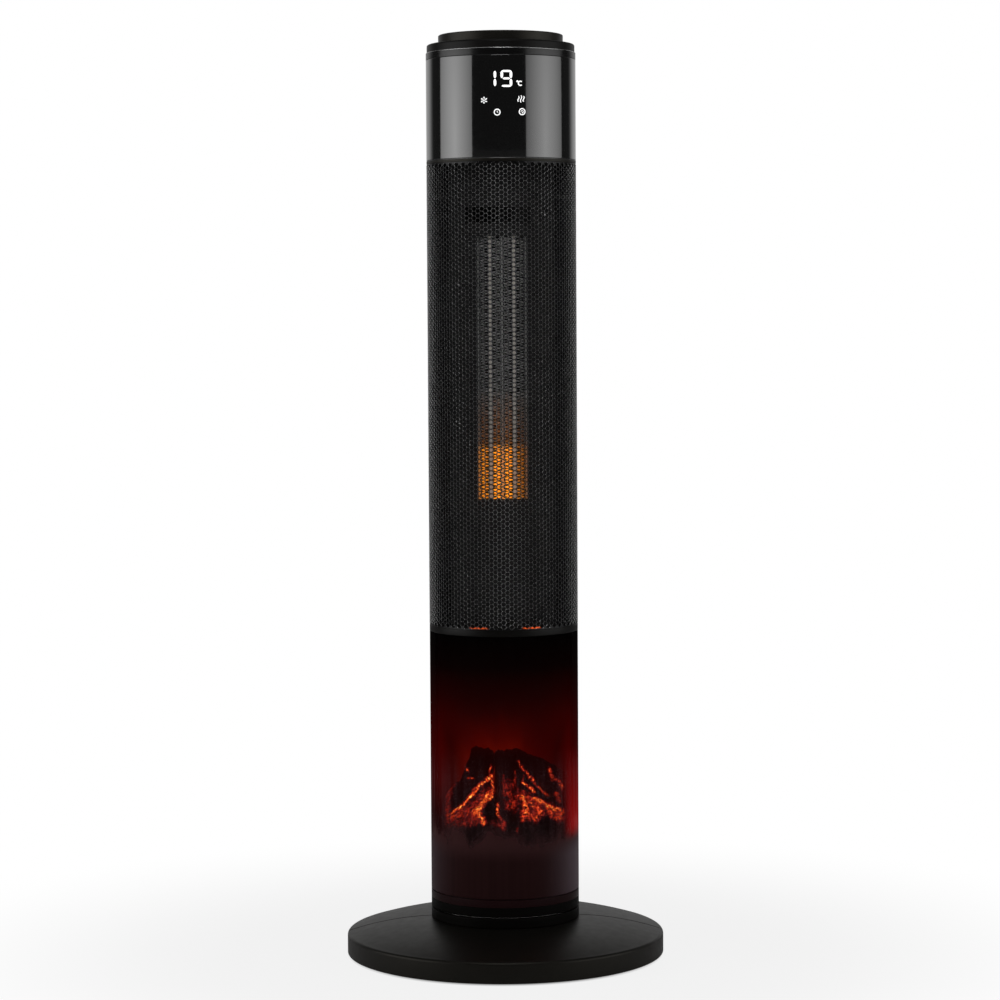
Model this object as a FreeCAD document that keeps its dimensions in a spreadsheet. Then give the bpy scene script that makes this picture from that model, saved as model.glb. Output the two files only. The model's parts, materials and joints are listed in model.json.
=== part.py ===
import FreeCAD, Part
import math
import os
from types import SimpleNamespace

import Sketcher

# A free-standing ceramic tower heater with a flame-effect window, in millimetres.
# The origin is on the floor under the middle of the round base, +Z is up and the front faces -Y.

SIZES = {
    # round base in two halves
    "base_radius": 135,
    "foot_height": 1.5,
    "rim_top": 19,
    "rim_rounding": 3,
    "base_crown_radius": 250,
    "base_wall": 2.5,
    "base_seam_angle": 0.2,
    "foot_radius": 8,
    "foot_circle_radius": 112,
    "foot_boss_border": 1.5,
    "gland_radius": 4.6,
    "gland_bore_radius": 3.3,
    "gland_flange_radius": 5.4,
    "gland_flange_thickness": 2.5,
    "gland_length": 9,
    "gland_clearance": 0.3,
    # fixed collar
    "collar_seat": 32,
    "collar_height": 8.5,
    "collar_radius": 63,
    "collar_neck_radius": 59.5,
    "collar_wall": 4.5,
    "collar_flange_width": 14.5,
    "collar_flange_thickness": 4,
    "collar_depth": 10,
    "collar_floor_thickness": 3,
    "tip_switch_width": 16,
    "tip_switch_depth": 14,
    "tip_switch_height": 12,
    # swivel
    "hub_radius": 19.8,
    "hub_bore_radius": 14,
    "swivel_gap": 1,
    "glide_width": 4,
    "turntable_plate": 3,
    "turntable_height": 8.2,
    "retainer_overlap": 10,
    "retainer_thickness": 3,
    "gear_module": 1,
    "ring_teeth": 76,
    "pinion_teeth": 14,
    "gear_width": 6,
    "gear_rim": 4,
    "gear_backlash": 0.2,
    "swing_shaft_radius": 2.5,
    "swing_motor_radius": 13,
    "swing_motor_height": 11,
    # tower walls
    "tower_radius": 63,
    "tower_wall": 2.5,
    "front_sweep": 200,
    "wall_joint_angle": 0.3,
    "foot_ring_height": 7.2,
    "foot_ring_flange": 14,
    "foot_ring_plate": 4,
    "window_height": 220.5,
    "partition_height": 5.5,
    "partition_web": 3,
    "mesh_height": 388.5,
    "mesh_thickness": 0.8,
    "mesh_recess": 0.2,
    "mesh_columns": 12,
    "mesh_rows": 21,
    "mesh_web": 4.6,
    "mesh_joint_angle": 0.1,
    "trim_height": 3,
    "trim_flange": 17,
    "display_height": 84,
    "intake_rows": 34,
    "intake_pitch": 8,
    "intake_slot_height": 3,
    "intake_slot_width": 34,
    "intake_rib": 8,
    "intake_start": 40,
    # top
    "lip_height": 6,
    "ledge_height": 7,
    "ledge_setback": 0.8,
    "ledge_rounding": 1.5,
    "disc_radius": 52.5,
    "disc_rise": 8,
    "disc_sink": 4,
    "disc_plate": 3,
    "disc_wall": 2.5,
    "disc_rounding": 1,
    "shelf_width": 9,
    "shelf_thickness": 3,
    "board_thickness": 1.6,
    "button_radius": 6,
    "power_button_radius": 9,
    "button_circle_radius": 30,
    "button_flange": 1.2,
    "button_travel": 0.5,
    "button_recess": 0.3,
    "key_switch_width": 6,
    "key_switch_height": 3.5,
    # flame section
    "tray_thickness": 2,
    "apron_height": 42,
    "apron_sweep": 170,
    "apron_setback": 3.5,
    "bed_radius": 52,
    "bed_height": 51,
    "bed_flat_radius": 36,
    "bed_drop": 9,
    "bed_wall": 2.5,
    "left_log_radius": 10,
    "left_log_length": 62,
    "left_log_side": -41,
    "left_log_front": -22,
    "left_log_lift": 6,
    "right_log_radius": 11,
    "right_log_length": 58,
    "right_log_side": 44,
    "right_log_front": -12,
    "right_log_lift": 12,
    "front_log_radius": 10,
    "front_log_length": 56,
    "front_log_side": 3,
    "front_log_front": -36,
    "front_log_lift": 0,
    "rear_log_radius": 12,
    "rear_log_length": 84,
    "rear_log_side": -42,
    "rear_log_front": -2,
    "rear_log_lift": 24,
    "stub_log_radius": 7,
    "stub_log_length": 30,
    "stub_log_side": -12,
    "stub_log_front": -44,
    "stub_log_lift": 12,
    "screen_distance": 14,
    "screen_thickness": 2,
    "screen_width": 114,
    "screen_headroom": 6,
    "rotor_distance": 27,
    "rotor_lift": 41,
    "rotor_radius": 10.5,
    "rotor_length": 66,
    "rotor_vane": 0.8,
    "spindle_radius": 1.5,
    "rotor_bracket_thickness": 2,
    "rotor_bracket_width": 19,
    "rotor_motor_radius": 9,
    "rotor_motor_length": 8,
    "led_board_width": 60,
    "led_board_depth": 13,
    "led_radius": 2.5,
    "led_height": 4,
    "led_pitch": 11,
    # heating section
    "baffle_distance": 36,
    "baffle_thickness": 2,
    "baffle_width": 88,
    "element_width": 41,
    "element_depth": 10,
    "element_lift": 108,
    "element_headroom": 31,
    "element_tube_width": 3,
    "element_tube_offset": 10.2,
    "element_rail": 1.2,
    "fin_pitch": 2.4,
    "fin_fold_width": 1.6,
    "holder_height": 10,
    "holder_border": 3.5,
    "holder_depth": 14,
    "slot_width": 62,
    "slot_height": 13,
    "slot_gap": 11,
    "cutout_width": 9,
    "cutout_depth": 6,
    "cutout_height": 14,
    "fan_distance": 14,
    "fan_radius": 27,
    "fan_lift": 17,
    "fan_headroom": 25,
    "fan_disc": 2,
    "fan_discs": 5,
    "fan_blades": 28,
    "fan_blade_thickness": 0.9,
    "fan_blade_depth": 7,
    "fan_blade_angle": 35,
    "fan_shaft_radius": 3,
    "fan_shaft_seat": 8,
    "fan_motor_radius": 25,
    "fan_motor_height": 38,
    "bulkhead_drop": 30,
    "bulkhead_thickness": 3,
    "bearing_radius": 6,
    "bearing_flange": 3,
    "bearing_height": 6,
    "scroll_gap": 5,
    "scroll_wall": 1.5,
    "scroll_sweep": 115,
    "duct_depth": 22,
    # controls
    "display_frame_width": 64,
    "display_frame_depth": 4,
    "display_frame_height": 72,
    "display_frame_border": 5,
    "display_board_width": 60,
    "display_board_height": 66,
    "control_board_width": 64,
    "control_board_height": 84,
    "control_board_distance": 28,
    "relay_width": 15,
    "relay_depth": 15,
    "relay_height": 20,
    "relay_lift": 20,
    "relay_pitch": 19,
    "rocker_lift": 28,
    "rocker_width": 8.6,
    "rocker_length": 12.6,
    "rocker_thickness": 8,
    "rocker_pivot_depth": 3,
    "rocker_dip": 1.2,
    "rocker_tilt": 10,
    "rocker_pin_radius": 1.5,
    "rocker_pin_reach": 1.2,
    "rocker_housing_wall": 2,
    "rocker_housing_depth": 15,
    "rocker_flange": 1.5,
    "rocker_flange_thickness": 1.2,
    # screws
    "screw_radius": 1.5,
    "screw_head_radius": 2.8,
    "screw_head_height": 2,
    "screw_length": 6.5,
    "base_screw_circle_radius": 68,
    "turntable_screw_circle_radius": 51,
    "screw_post_border": 3,
    # clearances
    "fit_gap": 0.15,
    "running_gap": 0.05,
    "moving_gap": 0.3,
}


class Size:
    """A number together with the sheet expression that gives it."""

    def __init__(self, number, text):
        self.number = number
        self.text = text

    def joined(self, sign, other, number):
        return Size(number, f"({self.text} {sign} {other.text})")

    def __add__(self, other):
        other = as_size(other)
        return self.joined("+", other, self.number + other.number)

    def __sub__(self, other):
        other = as_size(other)
        return self.joined("-", other, self.number - other.number)

    def __mul__(self, other):
        other = as_size(other)
        return self.joined("*", other, self.number * other.number)

    def __truediv__(self, other):
        other = as_size(other)
        return self.joined("/", other, self.number / other.number)

    def __neg__(self):
        return as_size(0) - self

    def __radd__(self, other):
        return as_size(other) + self

    def __rsub__(self, other):
        return as_size(other) - self

    def __rmul__(self, other):
        return as_size(other) * self


def as_size(value):
    if isinstance(value, Size):
        return value
    return Size(float(value), f"{float(value):.9f}")


doc = FreeCAD.newDocument("tower_heater")
sheet = doc.addObject("Spreadsheet::Sheet", "sizes")
for row, (alias, number) in enumerate(SIZES.items(), start=1):
    sheet.set(f"A{row}", alias)
    sheet.set(f"B{row}", str(number))
    sheet.setAlias(f"B{row}", alias)
doc.recompute()
size = SimpleNamespace(**{alias: Size(sheet.get(alias), f"sizes.{alias}") for alias in SIZES})

UP = FreeCAD.Vector(0, 0, 1)
FRONT = -90
REAR = 90
FULL_TURN = 360
kept = []


# Helpers that make bound features

def bind(feature, **values):
    for name, value in values.items():
        feature.setExpression(name, as_size(value).text)


def place(feature, x=0, y=0, z=0):
    for axis, value in zip("xyz", (x, y, z)):
        feature.setExpression(f"Placement.Base.{axis}", as_size(value).text)


def block(name, width, depth, height, x=0, y=0, z=0):
    """A box centred on x and y that stands on z."""
    feature = doc.addObject("Part::Box", name)
    bind(feature, Length=width, Width=depth, Height=height)
    place(feature, x - width / 2, y - depth / 2, z)
    return feature


def rod(name, radius, length, x=0, y=0, z=0, along="Z"):
    """A cylinder that starts at a point and runs along an axis."""
    feature = doc.addObject("Part::Cylinder", name)
    bind(feature, Radius=radius, Height=length)
    turns = {
        "X": FreeCAD.Rotation(FreeCAD.Vector(0, 1, 0), 90),
        "Y": FreeCAD.Rotation(FreeCAD.Vector(1, 0, 0), -90),
        "Z": FreeCAD.Rotation(),
    }
    feature.Placement.Rotation = turns[along]
    place(feature, x, y, z)
    return feature


def cut(name, base, *tools):
    feature = doc.addObject("Part::Cut", name)
    feature.Base = base
    feature.Tool = tools[0] if len(tools) == 1 else group(f"{name}_tools", *tools)
    return feature


def fuse(name, *shapes):
    feature = doc.addObject("Part::MultiFuse", name)
    feature.Shapes = list(shapes)
    return feature


def group(name, *shapes):
    """Separate solids that share one node."""
    feature = doc.addObject("Part::Compound", name)
    feature.Links = list(shapes)
    return feature


def keep(feature, label):
    feature.Label = label
    kept.append(feature)
    return feature


def around(circle, degrees):
    """The x and y of a point on a circle about the tower's axis."""
    turn = math.radians(degrees)
    return circle * math.cos(turn), circle * math.sin(turn)


def origin_plane(body, role):
    return next(plane for plane in body.Origin.OriginFeatures if plane.Role == role)


def left_arc(start, end, radius):
    """The short arc that bears left from start to end."""
    chord = end - start
    to_left = FreeCAD.Vector(-chord.y, chord.x, 0).normalize()
    centre = (start + end) * 0.5 + to_left * math.sqrt(radius**2 - (chord.Length / 2) ** 2)
    first = math.atan2(start.y - centre.y, start.x - centre.x)
    last = math.atan2(end.y - centre.y, end.x - centre.x)
    return Part.ArcOfCircle(Part.Circle(centre, UP, radius), first, last)


def constrain(sketch, value, *terms):
    index = sketch.addConstraint(Sketcher.Constraint(*terms, value.number))
    sketch.setExpression(f"Constraints[{index}]", value.text)


def outline(body, name, plane, points, bends):
    """A closed sketch through points in anticlockwise order; bends gives arc radii by point."""
    sketch = body.newObject("Sketcher::SketchObject", name)
    sketch.AttachmentSupport = (origin_plane(body, plane), [""])
    sketch.MapMode = "FlatFace"
    points = [(as_size(across), as_size(up)) for across, up in points]
    corners = [FreeCAD.Vector(across.number, up.number, 0) for across, up in points]
    count = len(points)
    for index, start in enumerate(corners):
        end = corners[(index + 1) % count]
        if index in bends:
            sketch.addGeometry(left_arc(start, end, bends[index].number))
        else:
            sketch.addGeometry(Part.LineSegment(start, end))
    for index in range(count):
        sketch.addConstraint(Sketcher.Constraint("Coincident", index, 2, (index + 1) % count, 1))
    for index, (across, up) in enumerate(points):
        if across.number == 0:
            sketch.addConstraint(Sketcher.Constraint("PointOnObject", index, 1, -2))
        else:
            constrain(sketch, across, "DistanceX", -1, 1, index, 1)
        if up.number == 0:
            sketch.addConstraint(Sketcher.Constraint("PointOnObject", index, 1, -1))
        else:
            constrain(sketch, up, "DistanceY", -1, 1, index, 1)
    for index, radius in bends.items():
        constrain(sketch, radius, "Radius", index)
    return sketch


def turned(name, points, sweep=FULL_TURN, facing=FRONT, bends=None, y=0):
    """A body turned about an upright axis from radius and height points, its middle at facing."""
    body = doc.addObject("PartDesign::Body", name)
    sketch = outline(body, f"{name}_outline", "XZ_Plane", points, bends or {})
    turn = body.newObject("PartDesign::Revolution", f"{name}_turn")
    turn.Profile = sketch
    turn.ReferenceAxis = (sketch, ["V_Axis"])
    turn.Midplane = True
    bind(turn, Angle=sweep)
    body.Placement.Rotation = FreeCAD.Rotation(UP, facing)
    place(body, 0, y, 0)
    return body


def wall(name, outer, inner, bottom, top, sweep=FULL_TURN, facing=FRONT, y=0):
    """A plain curved wall or ring."""
    points = [(inner, bottom), (outer, bottom), (outer, top), (inner, top)]
    return turned(name, points, sweep, facing, y=y)


def screws(name, circle, degrees, head_bottom):
    """Screws put in from below, as one group of separate solids."""
    made = []
    for number, angle in enumerate(degrees):
        x, y = around(circle, angle)
        head = rod(f"{name}_head_{number}", size.screw_head_radius, size.screw_head_height, x, y, head_bottom)
        shank = rod(
            f"{name}_shank_{number}",
            size.screw_radius,
            size.screw_length,
            x,
            y,
            head_bottom + size.screw_head_height,
        )
        made.append(fuse(f"{name}_{number}", head, shank))
    return keep(group(f"{name}_group", *made), name)


def screw_holes(name, circle, degrees, bottom, depth):
    holes = []
    for number, angle in enumerate(degrees):
        x, y = around(circle, angle)
        holes.append(rod(f"{name}_{number}", size.screw_radius + size.fit_gap, depth, x, y, bottom))
    return holes


# Heights of the joints between the stacked sections

collar_bottom = size.collar_seat - size.collar_depth
collar_floor = collar_bottom + size.collar_floor_thickness
collar_top = size.collar_seat + size.collar_height
turntable_bottom = collar_top + size.swivel_gap
turntable_floor = turntable_bottom + size.turntable_plate
turntable_top = turntable_bottom + size.turntable_height
window_bottom = turntable_top + size.foot_ring_height
window_top = window_bottom + size.window_height
heater_floor = window_top + size.partition_web
mesh_bottom = window_top + size.partition_height
mesh_top = mesh_bottom + size.mesh_height
display_bottom = mesh_top + size.trim_height
display_top = display_bottom + size.display_height
lip_top = display_top + size.lip_height
ledge_top = lip_top + size.ledge_height
disc_top = ledge_top + size.disc_rise

gland_room = size.rim_top - size.rim_rounding - size.base_wall - size.gland_clearance
gland_height = gland_room - size.gland_flange_radius
tray_top = window_bottom + size.tray_thickness
rotor_height = tray_top + size.rotor_lift
rocker_height = window_bottom + size.rocker_lift
bulkhead_height = mesh_top - size.bulkhead_drop
element_start = mesh_bottom + size.element_lift
element_top = bulkhead_height - size.element_headroom
element_height = element_top - element_start
fan_motor_top = heater_floor + size.fan_motor_height
fan_start = fan_motor_top + size.fan_lift
fan_length = bulkhead_height - size.fan_headroom - fan_start

tower_inside = size.tower_radius - size.tower_wall
front_wall_sweep = size.front_sweep - size.wall_joint_angle
rear_wall_sweep = FULL_TURN - size.front_sweep - size.wall_joint_angle


# Base: two half covers on rubber feet, screwed to the flange of the fixed collar

FRONT_SCREWS = [210, 330]
REAR_SCREWS = [30, 150]
FRONT_FEET = [225, 315]
REAR_FEET = [45, 135]

base_hole = size.collar_neck_radius + size.fit_gap
base_flange_top = collar_bottom + size.collar_flange_thickness
cover_outside = [
    (size.base_radius, size.foot_height),
    (size.base_radius, size.rim_top - size.rim_rounding),
    (size.base_radius - size.rim_rounding, size.rim_top),
    (base_hole, size.collar_seat),
]
cover_underside = [
    (base_hole, size.collar_seat - size.base_wall),
    (size.base_radius - size.rim_rounding - size.base_wall, size.rim_top - size.base_wall),
    (size.base_radius - size.base_wall, size.rim_top - size.rim_rounding - size.base_wall),
    (size.base_radius - size.base_wall, size.foot_height),
]
cover_bends = {1: size.rim_rounding, 2: size.base_crown_radius}


screw_depth = size.screw_length + size.fit_gap


def base_half(label, facing, feet, posts, *openings):
    """Half of the round cover, with bosses for the feet and posts for the screws inside it."""
    sweep = FULL_TURN / 2 - size.base_seam_angle
    cover = turned(f"{label}_cover", cover_outside + cover_underside, sweep, facing, cover_bends)
    filled = turned(
        f"{label}_filled", cover_outside + [(base_hole, size.foot_height)], sweep, facing, cover_bends
    )
    inside = []
    for number, angle in enumerate(feet):
        x, y = around(size.foot_circle_radius, angle)
        boss_radius = size.foot_radius + size.foot_boss_border
        inside.append(
            rod(f"{label}_boss_{number}", boss_radius, size.collar_seat, x, y, size.foot_height)
        )
    for number, angle in enumerate(posts):
        x, y = around(size.base_screw_circle_radius, angle)
        post_radius = size.screw_radius + size.screw_post_border
        inside.append(rod(f"{label}_post_{number}", post_radius, size.collar_seat, x, y, base_flange_top))
    trimmed = doc.addObject("Part::Common", f"{label}_inside")
    trimmed.Base = filled
    trimmed.Tool = group(f"{label}_supports", *inside)
    holes = screw_holes(f"{label}_hole", size.base_screw_circle_radius, posts, collar_bottom, screw_depth)
    whole = fuse(f"{label}_whole", cover, trimmed)
    return keep(cut(f"{label}_drilled", whole, *holes, *openings), label)


gland_hole = rod(
    "gland_hole",
    size.gland_radius + size.fit_gap,
    size.gland_length * 2,
    0,
    size.base_radius - size.gland_length,
    gland_height,
    along="Y",
)
base_half("base_front_half", FRONT, FRONT_FEET, FRONT_SCREWS)
base_half("base_rear_half", REAR, REAR_FEET, REAR_SCREWS, gland_hole)

feet = []
for number, angle in enumerate(FRONT_FEET + REAR_FEET):
    x, y = around(size.foot_circle_radius, angle)
    feet.append(rod(f"foot_{number}", size.foot_radius, size.foot_height, x, y, 0))
keep(group("feet_group", *feet), "rubber_feet")

gland_end = size.base_radius - size.moving_gap
gland_barrel = rod(
    "gland_barrel",
    size.gland_radius,
    size.gland_length,
    0,
    gland_end - size.gland_length,
    gland_height,
    along="Y",
)
gland_flange = rod(
    "gland_flange",
    size.gland_flange_radius,
    size.gland_flange_thickness,
    0,
    size.base_radius - size.base_wall - size.moving_gap - size.gland_flange_thickness,
    gland_height,
    along="Y",
)
gland_bore = rod(
    "gland_bore",
    size.gland_bore_radius,
    size.gland_length * 3,
    0,
    gland_end - size.gland_length * 2,
    gland_height,
    along="Y",
)
keep(cut("gland_whole", fuse("gland_solid", gland_barrel, gland_flange), gland_bore), "cord_gland")

collar_bore = size.collar_neck_radius - size.collar_wall
collar_hole = size.hub_radius + size.running_gap * 2
collar_edge = size.collar_neck_radius + size.collar_flange_width
collar_blank = turned(
    "collar_blank",
    [
        (collar_hole, collar_bottom),
        (collar_edge, collar_bottom),
        (collar_edge, base_flange_top),
        (size.collar_neck_radius, base_flange_top),
        (size.collar_neck_radius, size.collar_seat),
        (size.collar_radius, size.collar_seat),
        (size.collar_radius, collar_top),
        (collar_bore, collar_top),
        (collar_bore, collar_floor),
        (collar_hole, collar_floor),
    ],
)
collar_holes = screw_holes(
    "collar_hole", size.base_screw_circle_radius, FRONT_SCREWS + REAR_SCREWS, collar_bottom, size.screw_length
)
keep(cut("collar_drilled", collar_blank, *collar_holes), "fixed_collar")
screws(
    "base_screws",
    size.base_screw_circle_radius,
    FRONT_SCREWS + REAR_SCREWS,
    collar_bottom - size.screw_head_height,
)

glide_inside = collar_bore + size.fit_gap
keep(
    wall(
        "glide",
        glide_inside + size.glide_width,
        glide_inside,
        collar_top,
        turntable_bottom - size.running_gap * 2,
    ),
    "glide_ring",
)
keep(
    block(
        "tip_switch",
        size.tip_switch_width,
        size.tip_switch_depth,
        size.tip_switch_height,
        0,
        size.tip_switch_depth / 2 - collar_edge,
        collar_bottom - size.tip_switch_height,
    ),
    "tip_over_switch",
)


# Swivel: turntable, retainer, ring gear, pinion and motor

PRESSURE_ANGLE = math.radians(20)
TOOTH_HEIGHT = 0.55
TOOTH_ROOM = 0.85
FLANK_STEPS = 4


def tooth_half_angle(radius, pitch_radius, teeth, backlash):
    """Half of the angle that an involute tooth takes up at a radius."""
    base_circle = pitch_radius * math.cos(PRESSURE_ANGLE)
    pressure = math.acos(min(1, base_circle / max(radius, base_circle)))
    involute = math.tan(PRESSURE_ANGLE) - PRESSURE_ANGLE - math.tan(pressure) + pressure
    return math.pi / (2 * teeth) - backlash / (2 * pitch_radius) + involute


def toothed(teeth, outward, inward, backlash, height):
    """A toothed prism with a tooth on the +Y side, from its pitch circle out and in."""
    teeth = round(teeth)
    pitch_radius = size.gear_module.number * teeth / 2
    steps = [index / FLANK_STEPS for index in range(FLANK_STEPS + 1)]
    radii = [pitch_radius - inward + (outward + inward) * step for step in steps]
    points = []
    for tooth in range(teeth):
        middle = math.pi / 2 + 2 * math.pi * tooth / teeth
        flank = [(radius, tooth_half_angle(radius, pitch_radius, teeth, backlash)) for radius in radii]
        path = [(radius, middle - half) for radius, half in flank]
        path += [(radius, middle + half) for radius, half in reversed(flank)]
        points += [FreeCAD.Vector(r * math.cos(turn), r * math.sin(turn), 0) for r, turn in path]
    face = Part.Face(Part.makePolygon(points + points[:1]))
    return face.extrude(UP * height)


tooth_out = size.gear_module.number * TOOTH_HEIGHT
tooth_in = size.gear_module.number * TOOTH_ROOM
ring_pitch = size.gear_module * size.ring_teeth / 2
pinion_pitch = size.gear_module * size.pinion_teeth / 2
pinion_distance = ring_pitch - pinion_pitch

drive_gear = doc.addObject("Part::Feature", "drive_gear_solid")
gear_blank = Part.makeCylinder(ring_pitch.number + size.gear_rim.number, size.gear_width.number)
gear_space = toothed(
    size.ring_teeth.number, tooth_in, tooth_out, -size.gear_backlash.number, size.gear_width.number
)
drive_gear.Shape = gear_blank.cut(gear_space)
place(drive_gear, 0, 0, collar_floor)
keep(drive_gear, "drive_gear")

pinion_bottom = collar_floor + size.moving_gap
shaft_top = turntable_floor + size.turntable_plate
pinion = doc.addObject("Part::Feature", "pinion_solid")
pinion_teeth = toothed(
    size.pinion_teeth.number, tooth_out, tooth_in, size.gear_backlash.number, size.gear_width.number
)
pinion_shaft = Part.makeCylinder(size.swing_shaft_radius.number, (shaft_top - pinion_bottom).number)
pinion.Shape = pinion_teeth.fuse(pinion_shaft)
place(pinion, 0, pinion_distance, pinion_bottom)
keep(pinion, "swing_pinion")

SWIVEL_SCREWS = [45, 135, 225, 315]
hub_bottom = collar_bottom - size.moving_gap
retainer_bottom = hub_bottom - size.retainer_thickness
hub_screw_circle = (size.hub_radius + size.hub_bore_radius) / 2
turntable_blank = turned(
    "turntable_blank",
    [
        (size.hub_bore_radius, hub_bottom),
        (size.hub_radius, hub_bottom),
        (size.hub_radius, turntable_bottom),
        (size.tower_radius, turntable_bottom),
        (size.tower_radius, turntable_top),
        (tower_inside, turntable_top),
        (tower_inside, turntable_floor),
        (size.hub_bore_radius, turntable_floor),
    ],
)
shaft_hole = rod(
    "shaft_hole",
    size.swing_shaft_radius + size.moving_gap,
    size.turntable_plate,
    0,
    pinion_distance,
    turntable_bottom,
)
keep(
    cut(
        "turntable_drilled",
        turntable_blank,
        shaft_hole,
        *screw_holes("hub_hole", hub_screw_circle, SWIVEL_SCREWS, retainer_bottom, screw_depth),
        *screw_holes(
            "turntable_hole",
            size.turntable_screw_circle_radius,
            SWIVEL_SCREWS,
            turntable_bottom,
            size.turntable_plate,
        ),
    ),
    "turntable",
)
retainer_blank = wall(
    "retainer_blank",
    size.hub_radius + size.retainer_overlap,
    size.hub_bore_radius,
    retainer_bottom,
    hub_bottom,
)
retainer_holes = screw_holes(
    "retainer_hole", hub_screw_circle, SWIVEL_SCREWS, retainer_bottom, size.retainer_thickness
)
keep(cut("retainer_drilled", retainer_blank, *retainer_holes), "hub_retainer")
screws("retainer_screws", hub_screw_circle, SWIVEL_SCREWS, retainer_bottom - size.screw_head_height)
screws(
    "turntable_screws",
    size.turntable_screw_circle_radius,
    SWIVEL_SCREWS,
    turntable_bottom - size.screw_head_height,
)
motor_can = rod(
    "swing_motor_can",
    size.swing_motor_radius,
    size.swing_motor_height,
    0,
    pinion_distance,
    turntable_floor,
)
motor_bore = rod(
    "swing_motor_bore",
    size.swing_shaft_radius + size.running_gap,
    size.turntable_plate + size.moving_gap,
    0,
    pinion_distance,
    turntable_floor,
)
keep(cut("swing_motor_whole", motor_can, motor_bore), "swing_motor")


# Tower walls, from the foot ring up to the display panel

foot_ring_inside = tower_inside - size.foot_ring_flange
foot_ring_floor = turntable_floor + size.foot_ring_plate
ring_lip = tower_inside - size.tower_wall
foot_ring_blank = turned(
    "foot_ring_blank",
    [
        (foot_ring_inside, turntable_floor),
        (tower_inside - size.fit_gap, turntable_floor),
        (tower_inside - size.fit_gap, turntable_top),
        (size.tower_radius, turntable_top),
        (size.tower_radius, window_bottom),
        (ring_lip, window_bottom),
        (ring_lip, foot_ring_floor),
        (foot_ring_inside, foot_ring_floor),
    ],
)
foot_ring_holes = screw_holes(
    "foot_ring_hole", size.turntable_screw_circle_radius, SWIVEL_SCREWS, turntable_bottom, screw_depth
)
keep(cut("foot_ring_drilled", foot_ring_blank, *foot_ring_holes), "tower_foot_ring")

keep(
    wall("window", size.tower_radius, tower_inside, window_bottom, window_top, front_wall_sweep),
    "flame_window",
)

rocker_room = size.rocker_thickness * math.sin(math.radians(size.rocker_tilt.number)) + size.moving_gap * 2
housing_width = size.rocker_width + (size.moving_gap + size.rocker_housing_wall) * 2
housing_length = size.rocker_length + (rocker_room + size.rocker_housing_wall) * 2
rear_face = size.tower_radius + size.running_gap
lower_shell_wall = wall(
    "lower_shell_wall", size.tower_radius, tower_inside, window_bottom, window_top, rear_wall_sweep, REAR
)
rocker_cutout = block(
    "rocker_cutout",
    housing_width + size.fit_gap * 2,
    size.rocker_housing_depth * 2,
    housing_length + size.fit_gap * 2,
    0,
    size.tower_radius,
    rocker_height - housing_length / 2 - size.fit_gap,
)
keep(cut("lower_shell_cut", lower_shell_wall, rocker_cutout), "lower_rear_shell")

keep(
    turned(
        "partition_plate",
        [
            (0, window_top),
            (size.tower_radius, window_top),
            (size.tower_radius, mesh_bottom),
            (tower_inside, mesh_bottom),
            (tower_inside, heater_floor),
            (0, heater_floor),
        ],
    ),
    "partition",
)

mesh_outside = size.tower_radius - size.mesh_recess
mesh_inside = mesh_outside - size.mesh_thickness
mesh_column_count = round(size.mesh_columns.number)
mesh_row_count = round(size.mesh_rows.number)
mesh_column_sweep = front_wall_sweep / mesh_column_count
mesh_row_pitch = (size.mesh_height - size.mesh_web) / mesh_row_count
mesh_opening_width = mesh_outside * math.radians(1) * mesh_column_sweep - size.mesh_web


def mesh_slot(column, facing):
    """A tall radial block that opens one column of the mesh from its lowest row to its highest."""
    out_x, out_y = around(mesh_inside - size.mesh_web, facing)
    side_x, side_y = around(mesh_opening_width / 2, facing - 90)
    slot = doc.addObject("Part::Box", f"mesh_slot_{column}")
    bind(
        slot,
        Length=size.mesh_thickness + size.mesh_web * 2,
        Width=mesh_opening_width,
        Height=size.mesh_height - size.mesh_web * 2,
    )
    slot.Placement.Rotation = FreeCAD.Rotation(UP, facing)
    place(slot, out_x + side_x, out_y + side_y, mesh_bottom + size.mesh_web)
    return slot


mesh_strips = []
mesh_slots = []
for column in range(mesh_column_count):
    steps_from_middle = column - (mesh_column_count - 1) / 2
    facing = FRONT + mesh_column_sweep.number * steps_from_middle
    strip_sweep = mesh_column_sweep - size.mesh_joint_angle
    mesh_strips.append(
        wall(f"mesh_strip_{column}", mesh_outside, mesh_inside, mesh_bottom, mesh_top, strip_sweep, facing)
    )
    mesh_slots.append(mesh_slot(column, facing))
mesh_crossbars = []
for row in range(1, mesh_row_count):
    mesh_crossbars.append(
        block(
            f"mesh_crossbar_{row}",
            size.tower_radius * 3,
            size.tower_radius * 3,
            size.mesh_web,
            z=mesh_bottom + mesh_row_pitch * row,
        )
    )
mesh_openings = cut("mesh_openings", group("mesh_slots", *mesh_slots), *mesh_crossbars)
keep(cut("mesh_cut", group("mesh_strips", *mesh_strips), mesh_openings), "mesh_grille")
trim_inside = size.tower_radius - size.trim_flange
keep(
    wall("trim", size.tower_radius, trim_inside, mesh_top, display_bottom, front_wall_sweep),
    "mesh_top_trim",
)
keep(
    wall("display", size.tower_radius, tower_inside, display_bottom, display_top, front_wall_sweep),
    "display_window",
)

upper_shell_wall = wall(
    "upper_shell_wall", size.tower_radius, tower_inside, mesh_bottom, display_top, rear_wall_sweep, REAR
)
intake_slots = []
for row in range(round(size.intake_rows.number)):
    for side in (-1, 1):
        intake_slots.append(
            block(
                f"intake_slot_{row}_{'left' if side < 0 else 'right'}",
                size.intake_slot_width,
                size.tower_radius,
                size.intake_slot_height,
                (size.intake_slot_width + size.intake_rib) / 2 * side,
                size.tower_radius,
                mesh_bottom + size.intake_start + size.intake_pitch * row,
            )
        )
keep(cut("upper_shell_cut", upper_shell_wall, *intake_slots), "upper_rear_shell")


# Top: ring with lip and ledge, disc, key board, switches and buttons

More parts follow.
